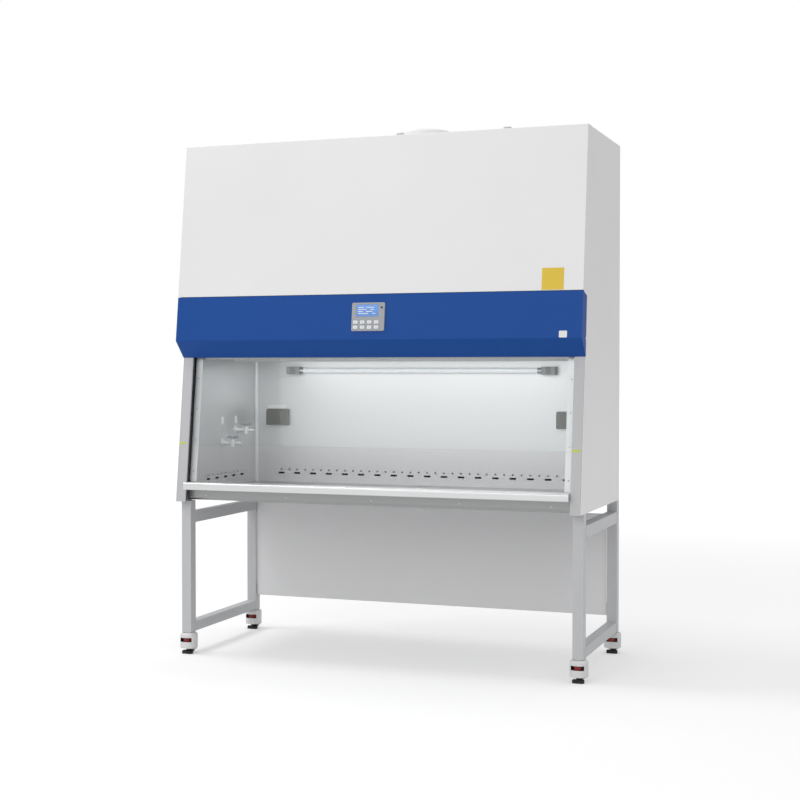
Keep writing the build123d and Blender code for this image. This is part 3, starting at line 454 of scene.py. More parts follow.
@dataclass(frozen=True)
class PleatedMedia(Finish):
    """White filter paper in its frame."""

    colour: str = "f0efe9"

    def draw(self, graph: Graph) -> bpy.types.Material:
        """Fibres are stretched noise across the folds."""
        base = np.array(linear(self.colour))
        fibre = graph.noise(700.0, 4.0, (1.0, 0.2, 1.0), 0.7)
        tone = graph.blend(fibre, tuple(base * 0.86), tuple(base))
        shader = graph.surface(Base_Color=tone, Roughness=0.85, Normal=graph.relief(fibre, 0.0002))
        return graph.finish(shader)


@dataclass(frozen=True)
class LampParts(Finish):
    """Lamp tube in the middle and grey holders at the ends; the unlit tube gets a faint painted glow."""

    reach: float = 0.603
    # Strength of the painted glow on the unlit tube.
    glow: float = 0.12

    def draw(self, graph: Graph) -> bpy.types.Material:
        """The zone between the holders is milky glass with darker ends, the rest is plastic; a darker zone in
        painted shade stands for each holder's slot.
        """
        x, _, z = graph.axes()
        far = abs(x)
        tube = far.below(self.reach)
        end = far.above(self.reach - 0.018) * tube
        glass = graph.blend(end, linear("f4f6f8"), linear("c9cbcd"))
        holder = graph.blend(graph.noise(600.0, 3.0), linear("8b8d8f"), linear("9a9c9e"))
        # Painted shade: the holder's slot is a darker zone of colour.
        slot = far.between(self.reach + 0.022, self.reach + 0.048) * z.between(1.277, 1.313)
        holder = graph.blend(slot, holder, linear("77797b"))
        tone = graph.blend(tube, holder, glass)
        # Painted light: the tube is unlit, and its faint glow stands in for its pale sheen.
        lit = graph.blend(tube * (1 - end), (0.0, 0.0, 0.0), linear("eef4ff"))
        shader = graph.surface(Base_Color=tone, Roughness=0.5 - tube * 0.32, Emission_Color=lit,
                               Emission_Strength=self.glow, Normal=graph.relief(graph.noise(800.0), 0.00003))
        return graph.finish(shader)


@dataclass(frozen=True)
class WorkLamp(Finish):
    """White lamp bar with a lit lens in its lower side."""

    lens_z: float = 1.3392
    middle_y: float = -0.054
    reach: float = 0.0105
    glow: float = 0.8

    def draw(self, graph: Graph) -> bpy.types.Material:
        """The recessed strip between the two lower edges glows."""
        _, y, z = graph.axes()
        lens = z.below(self.lens_z) * abs(y - self.middle_y).below(self.reach)
        tone = graph.blend(graph.noise(20.0), linear("dcdcdc"), linear("e6e6e6"))
        shader = graph.surface(Base_Color=tone, Roughness=0.4 + graph.noise(300.0) * 0.1,
                               Emission_Color=graph.blend(lens, (0.0, 0.0, 0.0), linear("fdfdff")),
                               Emission_Strength=self.glow)
        return graph.finish(shader)


@dataclass(frozen=True)
class CasterShell(Finish):
    """White caster housing whose dial window is painted near black with shade inside."""

    leg_x: float = 0.912
    leg_ys: tuple[float, float] = (-0.309, 0.366)
    half: float = 0.0281

    def draw(self, graph: Graph) -> bpy.types.Material:
        """Painted shade, near black, where a point lies in the window's box, on either side and at either end."""
        x, y, z = graph.axes()
        slot = abs(abs(x) - self.leg_x).below(self.half) * z.between(0.0556, 0.0744)
        front, rear = (y.between(at - 0.0375, at + 0.0072) for at in self.leg_ys)
        slot = slot * (front + rear)
        grain = graph.noise(900.0, 3.0, rough=0.6)
        tone = graph.blend(graph.noise(30.0, 2.0), linear("dedede"), linear("eaeaea"))
        # Painted shade inside the dial window.
        tone = graph.blend(slot, tone, linear("1a1718"))
        shader = graph.surface(Base_Color=tone, Roughness=0.42 + grain * 0.1, Normal=graph.relief(grain, 0.00005))
        return graph.finish(shader)


@dataclass(frozen=True)
class PerforatedSteel(Finish):
    """Brushed sheet with a regular field of small round holes."""

    pitch: float = 0.008
    hole: float = 0.0024

    def draw(self, graph: Graph) -> bpy.types.Material:
        """A hole lies at the middle of each square cell of the pitch; its near-black colour is painted shade from
        the dark space behind.
        """
        x, y, _ = graph.axes()
        across = (x % self.pitch) - self.pitch / 2
        deep = (y % self.pitch) - self.pitch / 2
        hole = 1 - (across * across + deep * deep).root().eased(self.hole * 0.85, self.hole)
        lines = graph.noise(900.0, 2.0, (0.02, 1.0, 1.0))
        tone = graph.blend(lines, linear("b9babb"), linear("d6d7d8"))
        # Painted shade: each hole is coloured near black for the dark space seen through it.
        tone = graph.blend(hole, tone, linear("2c2d2e"))
        shader = graph.surface(Base_Color=tone, Metallic=1 - hole, Roughness=0.34 + hole * 0.4,
                               Normal=graph.relief(1 - hole, 0.0006))
        return graph.finish(shader)


@dataclass(frozen=True)
class PrintedFilm(Finish):
    """Printed film or tape, flat and a little glossy."""

    colour: str = "ffffff"
    roughness: float = 0.35

    def draw(self, graph: Graph) -> bpy.types.Material:
        """Tone drifts by a fine noise."""
        base = np.array(linear(self.colour))
        tone = graph.blend(graph.noise(160.0, 3.0), tuple(base * 0.95), tuple(np.minimum(base * 1.03, 1.0)))
        shader = graph.surface(Base_Color=tone, Roughness=self.roughness + graph.noise(60.0) * 0.08,
                               Normal=graph.relief(graph.noise(500.0), 0.00003))
        return graph.finish(shader)


@dataclass(frozen=True)
class Screen(Finish):
    """Backlit blue display."""

    colour: str = "3b79c4"
    glow: float = 0.35

    def draw(self, graph: Graph) -> bpy.types.Material:
        """Lighter towards the top, with the dot rows of a display."""
        _, _, z = graph.axes()
        dots = (z % 0.0016).between(0.0, 0.0012)
        base = np.array(linear(self.colour))
        tone = graph.blend(z.eased(1.525, 1.585), tuple(base * 0.85), tuple(base * 1.15))
        tone = graph.blend(dots * 0.12, tone, tuple(base * 0.6))
        shader = graph.surface(Base_Color=tone, Roughness=0.12 + graph.noise(40.0) * 0.05, Emission_Color=tone,
                               Emission_Strength=self.glow, Coat_Weight=0.6)
        return graph.finish(shader)


@dataclass
class Shell:
    """Vertices and four-sided faces, held as arrays."""

    points: np.ndarray
    faces: np.ndarray

    def __add__(self, other: "Shell") -> "Shell":
        """Both shells as one."""
        faces = np.vstack([self.faces, other.faces + len(self.points)])
        return Shell(np.vstack([self.points, other.points]), faces)

    def at(self, places: np.ndarray, across: Triple = (1, 0, 0), out: Triple = (0, 0, 1)) -> "Shell":
        """Copies the shell to several places.

        Each copy's own x lies along across and its own z along out.

        Args:
            places: Array of points, one for each copy.
            across: Direction of the shell's x.
            out: Direction of the shell's z.

        Returns:
            All copies as one shell.
        """
        places = np.atleast_2d(np.asarray(places, float))
        x_axis = np.array(across, float) / np.linalg.norm(across)
        z_axis = np.array(out, float) / np.linalg.norm(out)
        turned = self.points @ np.array([x_axis, np.cross(z_axis, x_axis), z_axis])
        points = (places[:, None, :] + turned[None, :, :]).reshape(-1, 3)
        shift = np.arange(len(places))[:, None, None] * len(self.points)
        return Shell(points, (self.faces[None, :, :] + shift).reshape(-1, 4))


def grid(points: np.ndarray, close_rows: bool = False, close_columns: bool = True) -> Shell:
    """Joins a grid of points into a surface.

    Args:
        points: Array of rows, columns and three coordinates.
        close_rows: Joins the last row to the first.
        close_columns: Joins the last column to the first.

    Returns:
        The surface; neighbours in the grid share an edge.
    """
    rows, columns = points.shape[:2]
    index = np.arange(rows * columns).reshape(rows, columns)
    if close_rows:
        index = np.vstack([index, index[:1]])
    if close_columns:
        index = np.hstack([index, index[:, :1]])
    faces = np.stack([index[:-1, :-1], index[:-1, 1:], index[1:, 1:], index[1:, :-1]], axis=-1)
    return Shell(points.reshape(-1, 3), faces.reshape(-1, 4))


def turned(profile: list[tuple[float, float]], segments: int = 16) -> Shell:
    """Turns a profile of radius and height round z.

    A point is (r cos a, r sin a, h) for each profile point and each angle a.

    Args:
        profile: Radius and height pairs, from the base to the tip.
        segments: Number of angles.

    Returns:
        The turned surface.
    """
    radius, height = np.array(profile, float).T
    angle = np.linspace(0, 2 * np.pi, segments, endpoint=False)
    points = np.stack([radius[:, None] * np.cos(angle), radius[:, None] * np.sin(angle),
                       np.repeat(height[:, None], segments, axis=1)], axis=-1)
    return grid(points)


def rounded_outline(width: float, height: float, corner: float, steps: int = 5) -> np.ndarray:
    """Outline of a rectangle with round corners, anticlockwise.

    Each corner is an arc of a quarter turn round its own centre.

    Args:
        width: Full width.
        height: Full height.
        corner: Corner radius.
        steps: Points in each corner.

    Returns:
        Array of points in the plane.
    """
    corner = max(corner, 1e-6)
    angle = np.linspace(0, np.pi / 2, steps)[None, :] + np.arange(4)[:, None] * np.pi / 2
    signs = np.array([[1, 1], [-1, 1], [-1, -1], [1, -1]], float)
    centre = signs * np.array([width / 2 - corner, height / 2 - corner])
    arc = np.stack([np.cos(angle), np.sin(angle)], axis=-1) * corner
    return (centre[:, None, :] + arc).reshape(-1, 2)


def plate(width: float, height: float, corner: float, thick: float, bevel: float = 0.0, steps: int = 5) -> Shell:
    """A flat plate with round corners and an edge that is bevelled at the top.

    Rings of the outline, the upper one drawn in by the bevel, closed by a point in the middle.

    Args:
        width: Full width.
        height: Full height.
        corner: Corner radius.
        thick: Thickness.
        bevel: Width of the bevel.
        steps: Points in each corner.

    Returns:
        The plate, lying on z = 0.
    """
    outer = rounded_outline(width, height, corner, steps)
    inner = rounded_outline(width - 2 * bevel, height - 2 * bevel, corner - bevel, steps)
    rings = [(outer * 0, 0.0), (outer, 0.0), (outer, thick - bevel), (inner, thick), (inner * 0, thick)]
    points = np.stack([np.column_stack([ring, np.full(len(ring), level)]) for ring, level in rings])
    return grid(points)


def carried(section: np.ndarray, path: np.ndarray, sideways: np.ndarray) -> Shell:
    """Carries a closed section along a path.

    A point is path + s * sideways + t * (tangent x sideways) for each section point (s, t).

    Args:
        section: Closed outline in the plane.
        path: Points that the section follows.
        sideways: Unit direction of the section's first axis, one or one for each path point.

    Returns:
        The surface, closed at both ends by a point.
    """
    tangent = np.gradient(path, axis=0)
    tangent /= np.linalg.norm(tangent, axis=1)[:, None]
    sideways = np.broadcast_to(sideways, path.shape)
    other = np.cross(tangent, sideways)
    rings = path[:, None] + section[None, :, :1] * sideways[:, None] + section[None, :, 1:] * other[:, None]
    first = np.repeat(path[:1, None], len(section), axis=1)
    last = np.repeat(path[-1:, None], len(section), axis=1)
    return grid(np.concatenate([first, rings, last]))


def bead(width: float, height: float, corner: float, radius: float, sides: int = 6) -> Shell:
    """A round bead that runs round a rectangle with soft corners.

    A point is outline + radius * (cos a, sin a) across the outline, for each angle a.

    Args:
        width: Width of the rectangle.
        height: Height of the rectangle.
        corner: Corner radius.
        radius: Radius of the bead.
        sides: Points round the bead.

    Returns:
        The bead, lying on z = 0.
    """
    outline = rounded_outline(width, height, corner)
    path = np.column_stack([outline, np.zeros(len(outline))])
    angle = np.linspace(0, 2 * np.pi, sides, endpoint=False)
    section = radius * np.stack([np.cos(angle), np.sin(angle)], axis=-1)
    return carried(section, np.vstack([path, path[:1]]), np.array([0.0, 0.0, 1.0]))


@dataclass
class Workshop:
    """Turns shells into pieces and dresses the CAD nodes."""

    made: list[str] = field(default_factory=list)

    def piece(self, name: str, shell: Shell, body: str, finish: Finish, slot: str,
              smooth: bool = True) -> bpy.types.Object:
        """Makes a piece that rides on a body.

        Args:
            name: The piece's name.
            shell: Its surface.
            body: The CAD body that it rides on.
            finish: Its finish.
            slot: The record's material slot; not used.
            smooth: Shades it smooth between its sharp edges.

        Returns:
            The object.
        """
        mesh = bpy.data.meshes.new(name)
        mesh.from_pydata(shell.points, [], shell.faces)
        work = bmesh.new()
        work.from_mesh(mesh)
        bmesh.ops.remove_doubles(work, verts=work.verts, dist=1e-6)
        bmesh.ops.recalc_face_normals(work, faces=work.faces)
        work.to_mesh(mesh)
        work.free()
        mesh.polygons.foreach_set("use_smooth", np.full(len(mesh.polygons), smooth))
        if smooth:
            mesh.set_sharp_from_angle(angle=math.radians(35))
        mesh.materials.append(finish.material())
        made = bpy.data.objects.new(name, mesh)
        bpy.context.scene.collection.objects.link(made)
        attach(made, body)
        self.made.append(name)
        log.info("piece %s on %s: %d faces", name, body, len(mesh.polygons))
        return made

    def dress(self, node: str, finish: Finish) -> None:
        """Gives a CAD node its finish.

        Args:
            node: The node's name.
            finish: The finish.
        """
        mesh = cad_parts[node].data
        mesh.materials.clear()
        mesh.materials.append(finish.material())
        log.info("node %s: %s", node, finish.name)


WHITE_PAINT = PowderCoat("white_paint", "efefef")
# Grey pillar paint, darker than the casing's white; part of the darkening is painted shade from the hood above
# the pillars.
PILLAR_PAINT = PowderCoat("pillar_paint", "c6c6c8", roughness=0.45)
BLUE_PAINT = PowderCoat("blue_paint", "154c9a", roughness=0.55, gloss=0.22)
STAND_PAINT = PowderCoat("stand_paint", "c9cacc", roughness=0.45)
PANEL_PAINT = PowderCoat("panel_paint", "f0f0f1", roughness=0.5)
LINER = BrushedSteel("liner_steel", "dededf", Along.WIDTH, 0.42, metal=0.8)
TRAY = BrushedSteel("tray_steel", "a9aaab", Along.WIDTH, 0.4, metal=0.85)
LINER_SIDE = BrushedSteel("liner_side_steel", "dadbdc", Along.HEIGHT, 0.42, metal=0.7)
# The rail's apron gets painted shade below 0.757 m, under the rail's nose.
RAIL_STEEL = BrushedSteel("rail_steel", "dadbdb", Along.WIDTH, 0.38, metal=0.85, painted_shade_below=0.757)
TRACK = BrushedSteel("track_metal", "a5a7aa", Along.HEIGHT, 0.4)
SHAFT = BrushedSteel("shaft_steel", "b4b5b7", Along.WIDTH, 0.3)
ZINC = ZincSheet("zinc_sheet")
PERFORATED = PerforatedSteel("perforated_steel")
GLASS = Pane("sash_pane")
FILTER = PleatedMedia("filter_paper")
LAMP = LampParts("lamp_parts")
LENS = WorkLamp("work_lamp_box")
GREY_PLASTIC = Moulding("grey_plastic", "a4a7ab", 0.42)
WHITE_PLASTIC = Moulding("white_plastic", "e2e2e2", 0.4)
BUTTON_PLASTIC = Moulding("button_plastic", "f1f2f3", 0.38)
OLIVE_PLASTIC = Moulding("olive_plastic", "6a6a66", 0.4)
DARK_PLASTIC = Moulding("dark_plastic", "26272a", 0.5)
RED_PLASTIC = Moulding("red_plastic", "8c1a18", 0.4, coat=0.2)
RUBBER = Moulding("pad_rubber", "1e1e20", 0.7, grain=0.0001, scale=500.0)
HANDLE = Moulding("handle_plastic", "9a9da1", 0.32, coat=0.2)
CASTER = CasterShell("caster_shell")
LABEL = PrintedFilm("blank_label", "ececea")
YELLOW_FILM = PrintedFilm("yellow_film", "e3c22c")
LIME_FILM = PrintedFilm("lime_film", "c9d94a")
INK = PrintedFilm("button_ink", "5a6068", 0.5)
SCREEN = Screen("display_screen")
FACE_OUT = (0.0, -math.cos(SLANT), math.sin(SLANT))


def pan_head(radius: float = 0.004) -> Shell:
    """A pan-head screw with a round recess, seated at z = 0."""
    r = radius
    return turned([(0, 0.0012), (r * 0.4, 0.0012), (r * 0.45, 0.0024), (r * 0.75, 0.0023), (r, 0.001),
                   (r, -0.0003), (0, -0.0003)], 14)


@dataclass
class Casing:
    """Painted outer casing with its small fittings."""

    shop: Workshop
    half_width: float = 0.935
    roof_z: float = 2.320

    def build(self) -> None:
        """Dresses the casing and adds its small pieces."""
        for node in ("side_panels", "roof_panel", "back_panel", "upper_front_panel", "exhaust_collar"):
            self.shop.dress(node, WHITE_PAINT)
        self.shop.dress("front_pillars", PILLAR_PAINT)
        self.shop.dress("control_hood", BLUE_PAINT)
        self.shop.dress("electrics", DARK_PLASTIC)
        self.rear_screws()
        self.roof_fittings()
        self.height_marks()
        self.blank_labels()

    def rear_screws(self) -> None:
        """Rows of screws round the rear panel."""
        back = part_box("back_panel")[1].y
        xs = np.linspace(-self.half_width + 0.02, self.half_width - 0.02, 12)
        zs = np.linspace(0.72, 2.30, 9)
        rows = [(x, back, z) for x in xs for z in (zs[0], zs[-1])]
        rows += [(x, back, z) for x in (xs[0], xs[-1]) for z in zs[1:-1]]
        screws = pan_head().at(np.array(rows), (1, 0, 0), (0, 1, 0))
        self.shop.piece("rear_panel_screws", screws, "cabinet", SHAFT, "casing_paint")

    def roof_fittings(self) -> None:
        """Two lugs at the roof's front edge, and the screws of the roof and of the collar."""
        places = np.array([(x, -0.235, self.roof_z) for x in (0.094, 0.579)])
        lugs = plate(0.034, 0.016, 0.005, 0.012, 0.003).at(places)
        self.shop.piece("roof_lugs", lugs, "cabinet", PILLAR_PAINT, "casing_paint")
        turn = np.linspace(0, 2 * np.pi, 8, endpoint=False) + 0.2
        ring = np.column_stack([0.125 + 0.134 * np.cos(turn), 0.004 + 0.134 * np.sin(turn),
                                np.full(8, self.roof_z + 0.002)])
        rows = [(x, 0.378, self.roof_z) for x in np.linspace(-0.915, 0.915, 11)]
        rows += [(x, y, self.roof_z) for x in (-0.925, 0.925) for y in (-0.15, 0.0, 0.15, 0.28)]
        screws = pan_head(0.0035).at(np.vstack([ring, np.array(rows)]))
        self.shop.piece("roof_screws", screws, "cabinet", SHAFT, "casing_paint")

    def height_marks(self) -> None:
        """Lime strips on the pillars at the sash's working height."""
        z = 0.966
        low = plate(0.030, 0.009, 0.001, 0.0003).at(np.array([(-0.9175, front_y(z), z)]), (1, 0, 0), FACE_OUT)
        high = plate(0.038, 0.009, 0.001, 0.0003).at(np.array([(0.909, front_y(z), z)]), (1, 0, 0), FACE_OUT)
        self.shop.piece("height_marks", low + high, "cabinet", LIME_FILM, "casing_paint")

    def blank_labels(self) -> None:
        """Two plain stickers on the hood."""
        rows = (("yellow_sticker", (0.807, 1.676), (0.094, 0.092), YELLOW_FILM, "casing_paint"),
                ("white_sticker", (0.857, 1.4465), (0.034, 0.028), LABEL, "blue_paint"))
        for name, (x, z), (width, height), finish, slot in rows:
            sheet = plate(width, height, 0.003, 0.0003).at(np.array([(x, hood_y(z), z)]), (1, 0, 0), FACE_OUT)
            self.shop.piece(name, sheet, "cabinet", finish, slot)


@dataclass
class Chamber:
    """Steel work chamber with its grille, ceiling, lamps, sockets and taps."""

    shop: Workshop
    wall_x: float = 0.855
    back_y: float = 0.274
    ceiling_z: float = 1.347

    def build(self) -> None:
        """Dresses the chamber's nodes and adds its small pieces."""
        self.shop.dress("liner_back_wall", LINER)
        for node in ("base_pan", "work_tray", "front_grille"):
            self.shop.dress(node, TRAY)
        self.shop.dress("armrest", RAIL_STEEL)
        self.shop.dress("liner_side_walls", LINER_SIDE)
        self.shop.dress("diffuser", PERFORATED)
        self.shop.dress("uv_lamp", LAMP)
        self.shop.dress("work_lamp", LENS)
        self.shop.dress("sockets", OLIVE_PLASTIC)
        self.shop.dress("taps", WHITE_PLASTIC)
        for side in ("left", "right"):
            self.shop.dress(f"{side}_socket_lid", OLIVE_PLASTIC)
        for place in ("front", "rear"):
            self.shop.dress(f"{place}_tap_handle", HANDLE)
        self.screws()
        self.lamp_caps()
        self.blank_plates()

    def screws(self) -> None:
        """Screws of the apron, of the ceiling and of the liner's front folds."""
        spots = [(x, -0.3405, 0.731) for x in (-0.806, -0.408, -0.003, 0.398, 0.799)]
        apron = pan_head(0.0055).at(np.array(spots), (1, 0, 0), (0, -1, 0))
        self.shop.piece("apron_screws", apron, "cabinet", SHAFT, "stainless")
        spots = [(x, y, self.ceiling_z) for x in np.linspace(-0.80, 0.80, 11) for y in (-0.245, 0.258)]
        ceiling = pan_head(0.004).at(np.array(spots), (1, 0, 0), (0, 0, -1))
        self.shop.piece("ceiling_screws", ceiling, "cabinet", SHAFT, "stainless")
        fold = [(side * 0.8715, front_y(z, 0.035), z) for side in (-1, 1) for z in (0.84, 0.98, 1.12, 1.26)]
        folds = pan_head(0.0035).at(np.array(fold), (1, 0, 0), FACE_OUT)
        self.shop.piece("fold_screws", folds, "cabinet", SHAFT, "stainless")

    def lamp_caps(self) -> None:
        """Metal caps on both ends of the lamp tube."""
        cap = turned([(0.0130, -0.0002), (0.0136, 0.0), (0.0137, 0.017), (0.0130, 0.0182)], 24)
        half, y, z = 0.603, 0.256, 1.295
        caps = cap.at(np.array([(half, y, z)]), (0, 1, 0), (-1, 0, 0))
        caps += cap.at(np.array([(-half, y, z)]), (0, 1, 0), (1, 0, 0))
        self.shop.piece("lamp_end_caps", caps, "cabinet", SHAFT, "lamp_glass")

    def blank_plates(self) -> None:
        """Plain strips over the sockets and plain plates over the taps."""
        rows = (("socket_strip", -0.7395, 1.1165, 0.097, 0.019, LABEL),
                ("socket_tag", 0.792, 1.122, 0.018, 0.022, LIME_FILM))
        for name, x, z, width, height, finish in rows:
            strip = plate(width, height, 0.002, 0.0003).at(np.array([(x, self.back_y, z)]), (1, 0, 0), (0, -1, 0))
            self.shop.piece(name, strip, "cabinet", finish, "stainless")
        places = np.array([(-self.wall_x, y, 1.060) for y in (-0.081, 0.060)])
        plates = plate(0.025, 0.035, 0.003, 0.0008, 0.0002).at(places, (0, 1, 0), (1, 0, 0))
        self.shop.piece("tap_plates", plates, "cabinet", LABEL, "stainless")


@dataclass
class AirSystem:
    """Filters, plenum and blower behind the hood."""

    shop: Workshop

    def build(self) -> None:
        """Dresses the air handling nodes."""
        for node in ("supply_filter", "exhaust_filter"):
            self.shop.dress(node, FILTER)
        for node in ("plenum_box", "blower_housing", "blower_wheel"):
            self.shop.dress(node, ZINC)
        self.gaskets()

    def gaskets(self) -> None:
        """Soft seals round the filters' upper faces."""
        seal = bead(1.706, 0.500, 0.012, 0.0035).at(np.array([(0.0, 0.0187, 1.4345)]))
        self.shop.piece("supply_filter_seal", seal, "cabinet", RUBBER, "pad_rubber")
        guard = bead(0.520, 0.380, 0.012, 0.0035).at(np.array([(0.125, 0.064, 2.2915)]))
        self.shop.piece("exhaust_filter_seal", guard, "cabinet", RUBBER, "pad_rubber")


@dataclass
class Sash:
    """Sliding window and its drive."""

    shop: Workshop

    def build(self) -> None:
        """Dresses the sash nodes."""
        self.shop.dress("sash_glass", GLASS)
        for node in ("sash_clamps", "sash_guides"):
            self.shop.dress(node, TRACK)
        for node in ("sash_drive_shaft", "sash_idler_shaft"):
            self.shop.dress(node, SHAFT)


@dataclass
class ControlPanel:
    """Bezel, display and buttons on the blue band."""

    shop: Workshop
    centre_x: float = -0.004
    centre_z: float = 1.5275
    buttons: int = 8

    def build(self) -> None:
        """Dresses the panel, and adds the display's face."""
        self.shop.dress("control_panel", GREY_PLASTIC)
        for i in range(1, self.buttons + 1):
            self.shop.dress(f"panel_button_{i}", BUTTON_PLASTIC)
        self.display()
        self.legends()

    def on_panel(self, right: float, up: float, proud: float) -> Triple:
        """A point on the hood's face, from the panel's middle.

        Args:
            right: Distance to the right.
            up: Distance up the slope.
            proud: Distance out of the face.

        Returns:
            The point.
        """
        c, s = math.cos(SLANT), math.sin(SLANT)
        y = hood_y(self.centre_z) + up * s - proud * c
        return self.centre_x + right, y, self.centre_z + up * c + proud * s

    def display(self) -> None:
        """The lit face of the display window with its bars."""
        face = plate(0.102, 0.051, 0.002, 0.0004).at(np.array([self.on_panel(-0.0035, 0.027, 0.0051)]), (1, 0, 0),
                                                     FACE_OUT)
        self.shop.piece("display_face", face, "cabinet", SCREEN, "grey_plastic")
        rows = [(-0.030, 0.014, 0.026), (0.012, 0.014, 0.038), (-0.024, 0.005, 0.038), (0.022, 0.005, 0.018),
                (-0.032, -0.004, 0.022), (0.008, -0.004, 0.030), (-0.020, -0.013, 0.046), (0.030, -0.013, 0.014)]
        marks = []
        for x, up, width in rows:
            place = np.array([self.on_panel(-0.0035 + x, 0.027 + up, 0.0055)])
            marks.append(plate(width, 0.0034, 0.0008, 0.0002).at(place, (1, 0, 0), FACE_OUT))
        self.shop.piece("display_bars", sum(marks[1:], marks[0]), "cabinet", LABEL, "grey_plastic", False)

    def legends(self) -> None:
        """A short bar over each button, a ring or a bar on it, and the remote control's eye."""
        for i in range(self.buttons):
            right, up = -0.0085 + (i % 4 - 1.5) * 0.0323, -0.0345 - (i // 4 - 0.5) * 0.0222
            centre = np.array([self.on_panel(right, up, 0.00805)])
            mark = bead(0.0052, 0.0052, 0.0026, 0.0004) if i % 2 else plate(0.008, 0.0014, 0.0006, 0.0003)
            mark = mark.at(centre, (1, 0, 0), FACE_OUT)
            self.shop.piece(f"button_mark_{i + 1}", mark, f"button_{i + 1}", INK, "white_plastic")
        eye = turned([(0.0046, -0.0002), (0.0044, 0.0012), (0.003, 0.0024), (0, 0.0029)], 20)
        eye = eye.at(np.array([self.on_panel(0.062, 0.040, 0.005)]), (1, 0, 0), FACE_OUT)
        self.shop.piece("panel_eye", eye, "cabinet", DARK_PLASTIC, "grey_plastic")


@dataclass
class Stand:
    """Tube stand with its rear panel and levelling casters."""

    shop: Workshop

    def build(self) -> None:
        """Dresses the stand and its casters."""
        self.shop.dress("stand_frame", STAND_PAINT)
        self.shop.dress("stand_back_panel", PANEL_PAINT)
        for depth in ("front", "rear"):
            for side in ("left", "right"):
                self.shop.dress(f"{side}_{depth}_caster", CASTER)
                self.shop.dress(f"{side}_{depth}_wheel", DARK_PLASTIC)
                self.shop.dress(f"{side}_{depth}_dial", RED_PLASTIC)
                self.shop.dress(f"{side}_{depth}_pad", RUBBER)
                self.hub_rings(side, depth)
        self.welds()

    def hub_rings(self, side: str, depth: str) -> None:
        """A steel ring on each side of one wheel."""
        low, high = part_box(f"{side}_{depth}_wheel")
        y, z = (low.y + high.y) / 2, (low.z + high.z) / 2
        ring = turned([(0.0045, -0.0002), (0.0045, 0.0009), (0.0082, 0.0009), (0.0090, -0.0002)], 20)
        both = ring.at(np.array([(high.x, y, z)]), (0, 1, 0), (1, 0, 0))
        both += ring.at(np.array([(low.x, y, z)]), (0, 1, 0), (-1, 0, 0))
        self.shop.piece(f"{side}_{depth}_hub_rings", both, f"{side}_{depth}_wheel_body", SHAFT, "wheel_plastic")

    def welds(self) -> None:
        """Painted weld beads where the rails meet the legs."""
        leg_x, reach = 0.912, 0.023
        low = bead(0.046, 0.044, 0.001, 0.0015)
        high = bead(0.046, 0.050, 0.001, 0.0015)
        cross = bead(0.0315, 0.044, 0.001, 0.0015)
        made = []
        for side in (-1, 1):
            for y, facing in ((-0.309 + reach, 1), (0.366 - reach, -1)):
                made.append(low.at(np.array([(side * leg_x, y, 0.122)]), (1, 0, 0), (0, facing, 0)))
                made.append(high.at(np.array([(side * leg_x, y, 0.625)]), (1, 0, 0), (0, facing, 0)))
            for z in (0.200, 0.612):
                place = np.array([(side * (leg_x - reach), 0.389 - 0.01575, z)])
                made.append(cross.at(place, (0, 1, 0), (-side, 0, 0)))
        self.shop.piece("weld_beads", sum(made[1:], made[0]), "cabinet", STAND_PAINT, "stand_paint")


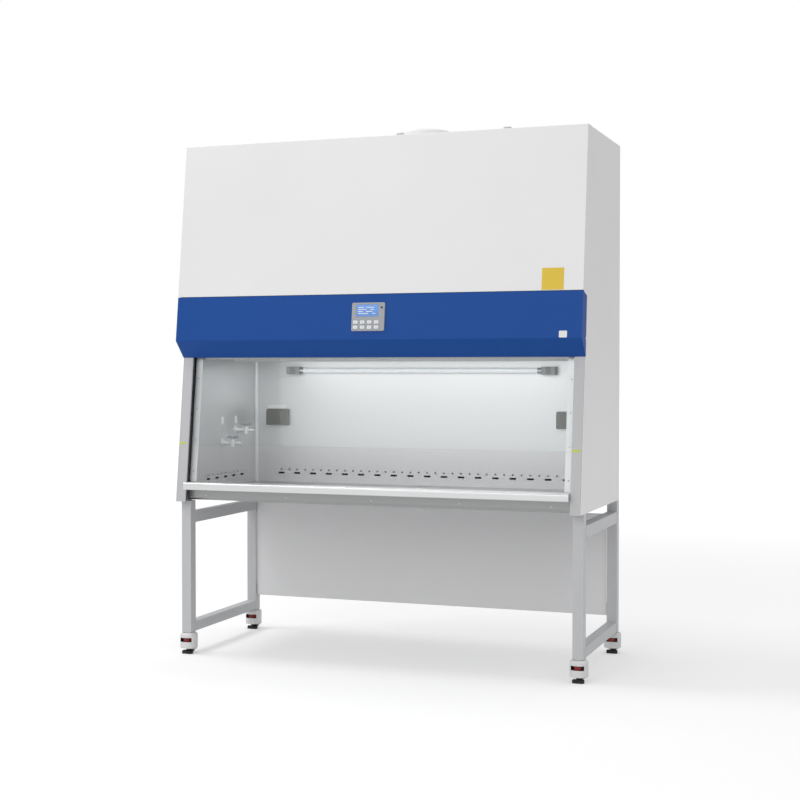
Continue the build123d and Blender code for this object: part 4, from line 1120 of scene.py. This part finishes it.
@dataclass
class Studio:
    """Floor, backdrop, lights and camera."""

    camera_at: Triple = (2.2772, -6.1879, 1.3066)
    yaw: float = 20.155
    pitch: float = -1.262
    focal: float = 1447.16
    picture: int = 800
    sun: float = 2.2
    sky: float = 0.68

    def build(self) -> None:
        """Makes everything round the object."""
        bpy.context.scene.view_settings.view_transform = "Standard"
        self.camera()
        self.floor()
        self.world()
        self.lights()

    def camera(self) -> None:
        """Camera at the photograph's view."""
        data = bpy.data.cameras.new("camera")
        data.sensor_width = 36.0
        data.lens = self.focal / self.picture * 36.0
        data.clip_end = 100.0
        made = bpy.data.objects.new("camera", data)
        made.location = self.camera_at
        made.rotation_euler = (math.radians(90 + self.pitch), 0.0, math.radians(self.yaw))
        bpy.context.scene.collection.objects.link(made)
        bpy.context.scene.camera = made

    def floor(self) -> None:
        """Large pale floor that shows white where no shadow falls."""
        mesh = bpy.data.meshes.new("floor")
        size = 60.0
        corners = [(-size, -size, 0), (size, -size, 0), (size, size, 0), (-size, size, 0)]
        mesh.from_pydata(corners, [], [(0, 1, 2, 3)])
        graph = Graph("floor_white")
        path = graph.node("ShaderNodeLightPath")
        seen = Wire(graph, path.outputs["Is Camera Ray"]) + Wire(graph, path.outputs["Is Glossy Ray"])
        seen = seen + Wire(graph, path.outputs["Is Transmission Ray"])
        x, y, _ = graph.axes()
        far = (x * x + y * y).root().eased(2.0, 9.0)
        lift = graph.node("ShaderNodeEmission", None, {0: (1.0, 1.0, 1.0), 1: seen * (0.33 + far * 0.24)})
        paint = graph.surface(Base_Color=(0.73, 0.73, 0.73), Roughness=0.9, Specular_IOR_Level=0.0)
        both = graph.node("ShaderNodeAddShader", None, {0: paint.outputs[0], 1: lift.outputs[0]})
        mesh.materials.append(graph.finish(both))
        made = bpy.data.objects.new("floor", mesh)
        bpy.context.scene.collection.objects.link(made)

    def world(self) -> None:
        """White surroundings, at full strength where the camera or a reflection sees them."""
        world = bpy.data.worlds.new("studio")
        bpy.context.scene.world = world
        world.use_nodes = True
        tree = world.node_tree
        tree.nodes.clear()
        path = tree.nodes.new("ShaderNodeLightPath")
        seen = tree.nodes.new("ShaderNodeMath")
        seen.operation = "MAXIMUM"
        tree.links.new(path.outputs["Is Camera Ray"], seen.inputs[0])
        tree.links.new(path.outputs["Is Transmission Ray"], seen.inputs[1])
        strength = tree.nodes.new("ShaderNodeMapRange")
        strength.inputs["To Min"].default_value = self.sky
        strength.inputs["To Max"].default_value = 1.0
        tree.links.new(seen.outputs[0], strength.inputs[0])
        shade = tree.nodes.new("ShaderNodeBackground")
        shade.inputs[0].default_value = (1.0, 1.0, 1.0, 1.0)
        tree.links.new(strength.outputs[0], shade.inputs[1])
        out = tree.nodes.new("ShaderNodeOutputWorld")
        tree.links.new(shade.outputs[0], out.inputs[0])

    def lights(self) -> None:
        """A large soft key from the upper left and a weak one inside the chamber."""
        self.area("key", (-1.2, -6.5, 4.2), (0.0, 0.0, 1.1), 4.5, 4.5, 94.0)
        self.area("side", (-3.4, -0.6, 6.8), (0.6, -0.2, 0.4), 2.0, 2.0, 130.0)
        self.area("chamber", (0.0, -0.03, 1.333), (0.0, 0.03, 0.75), 1.5, 0.3, 3.4)

    def area(self, name: str, place: Triple, target: Triple, width: float, height: float, power: float) -> None:
        """One rectangular light.

        Args:
            name: The light's name.
            place: Where it stands.
            target: The point that it faces.
            width: Width of the light.
            height: Height of the light.
            power: Power in watts.
        """
        data = bpy.data.lights.new(name, "AREA")
        data.shape = "RECTANGLE"
        data.size, data.size_y, data.energy = width, height, power
        made = bpy.data.objects.new(name, data)
        made.location = place
        made.visible_camera = False
        away = np.array(place) - np.array(target)
        tilt = math.acos(away[2] / np.linalg.norm(away))
        made.rotation_euler = (tilt, 0.0, math.atan2(away[1], away[0]) + math.pi / 2)
        bpy.context.scene.collection.objects.link(made)


def main() -> None:
    """Builds the looks in order."""
    logging.basicConfig(level=logging.INFO, format="%(message)s")
    shop = Workshop()
    for part in (Casing(shop), Chamber(shop), AirSystem(shop), Sash(shop), ControlPanel(shop), Stand(shop)):
        part.build()
    Studio().build()
    log.info("%d pieces made", len(shop.made))


if __name__ == "__main__":
    main()
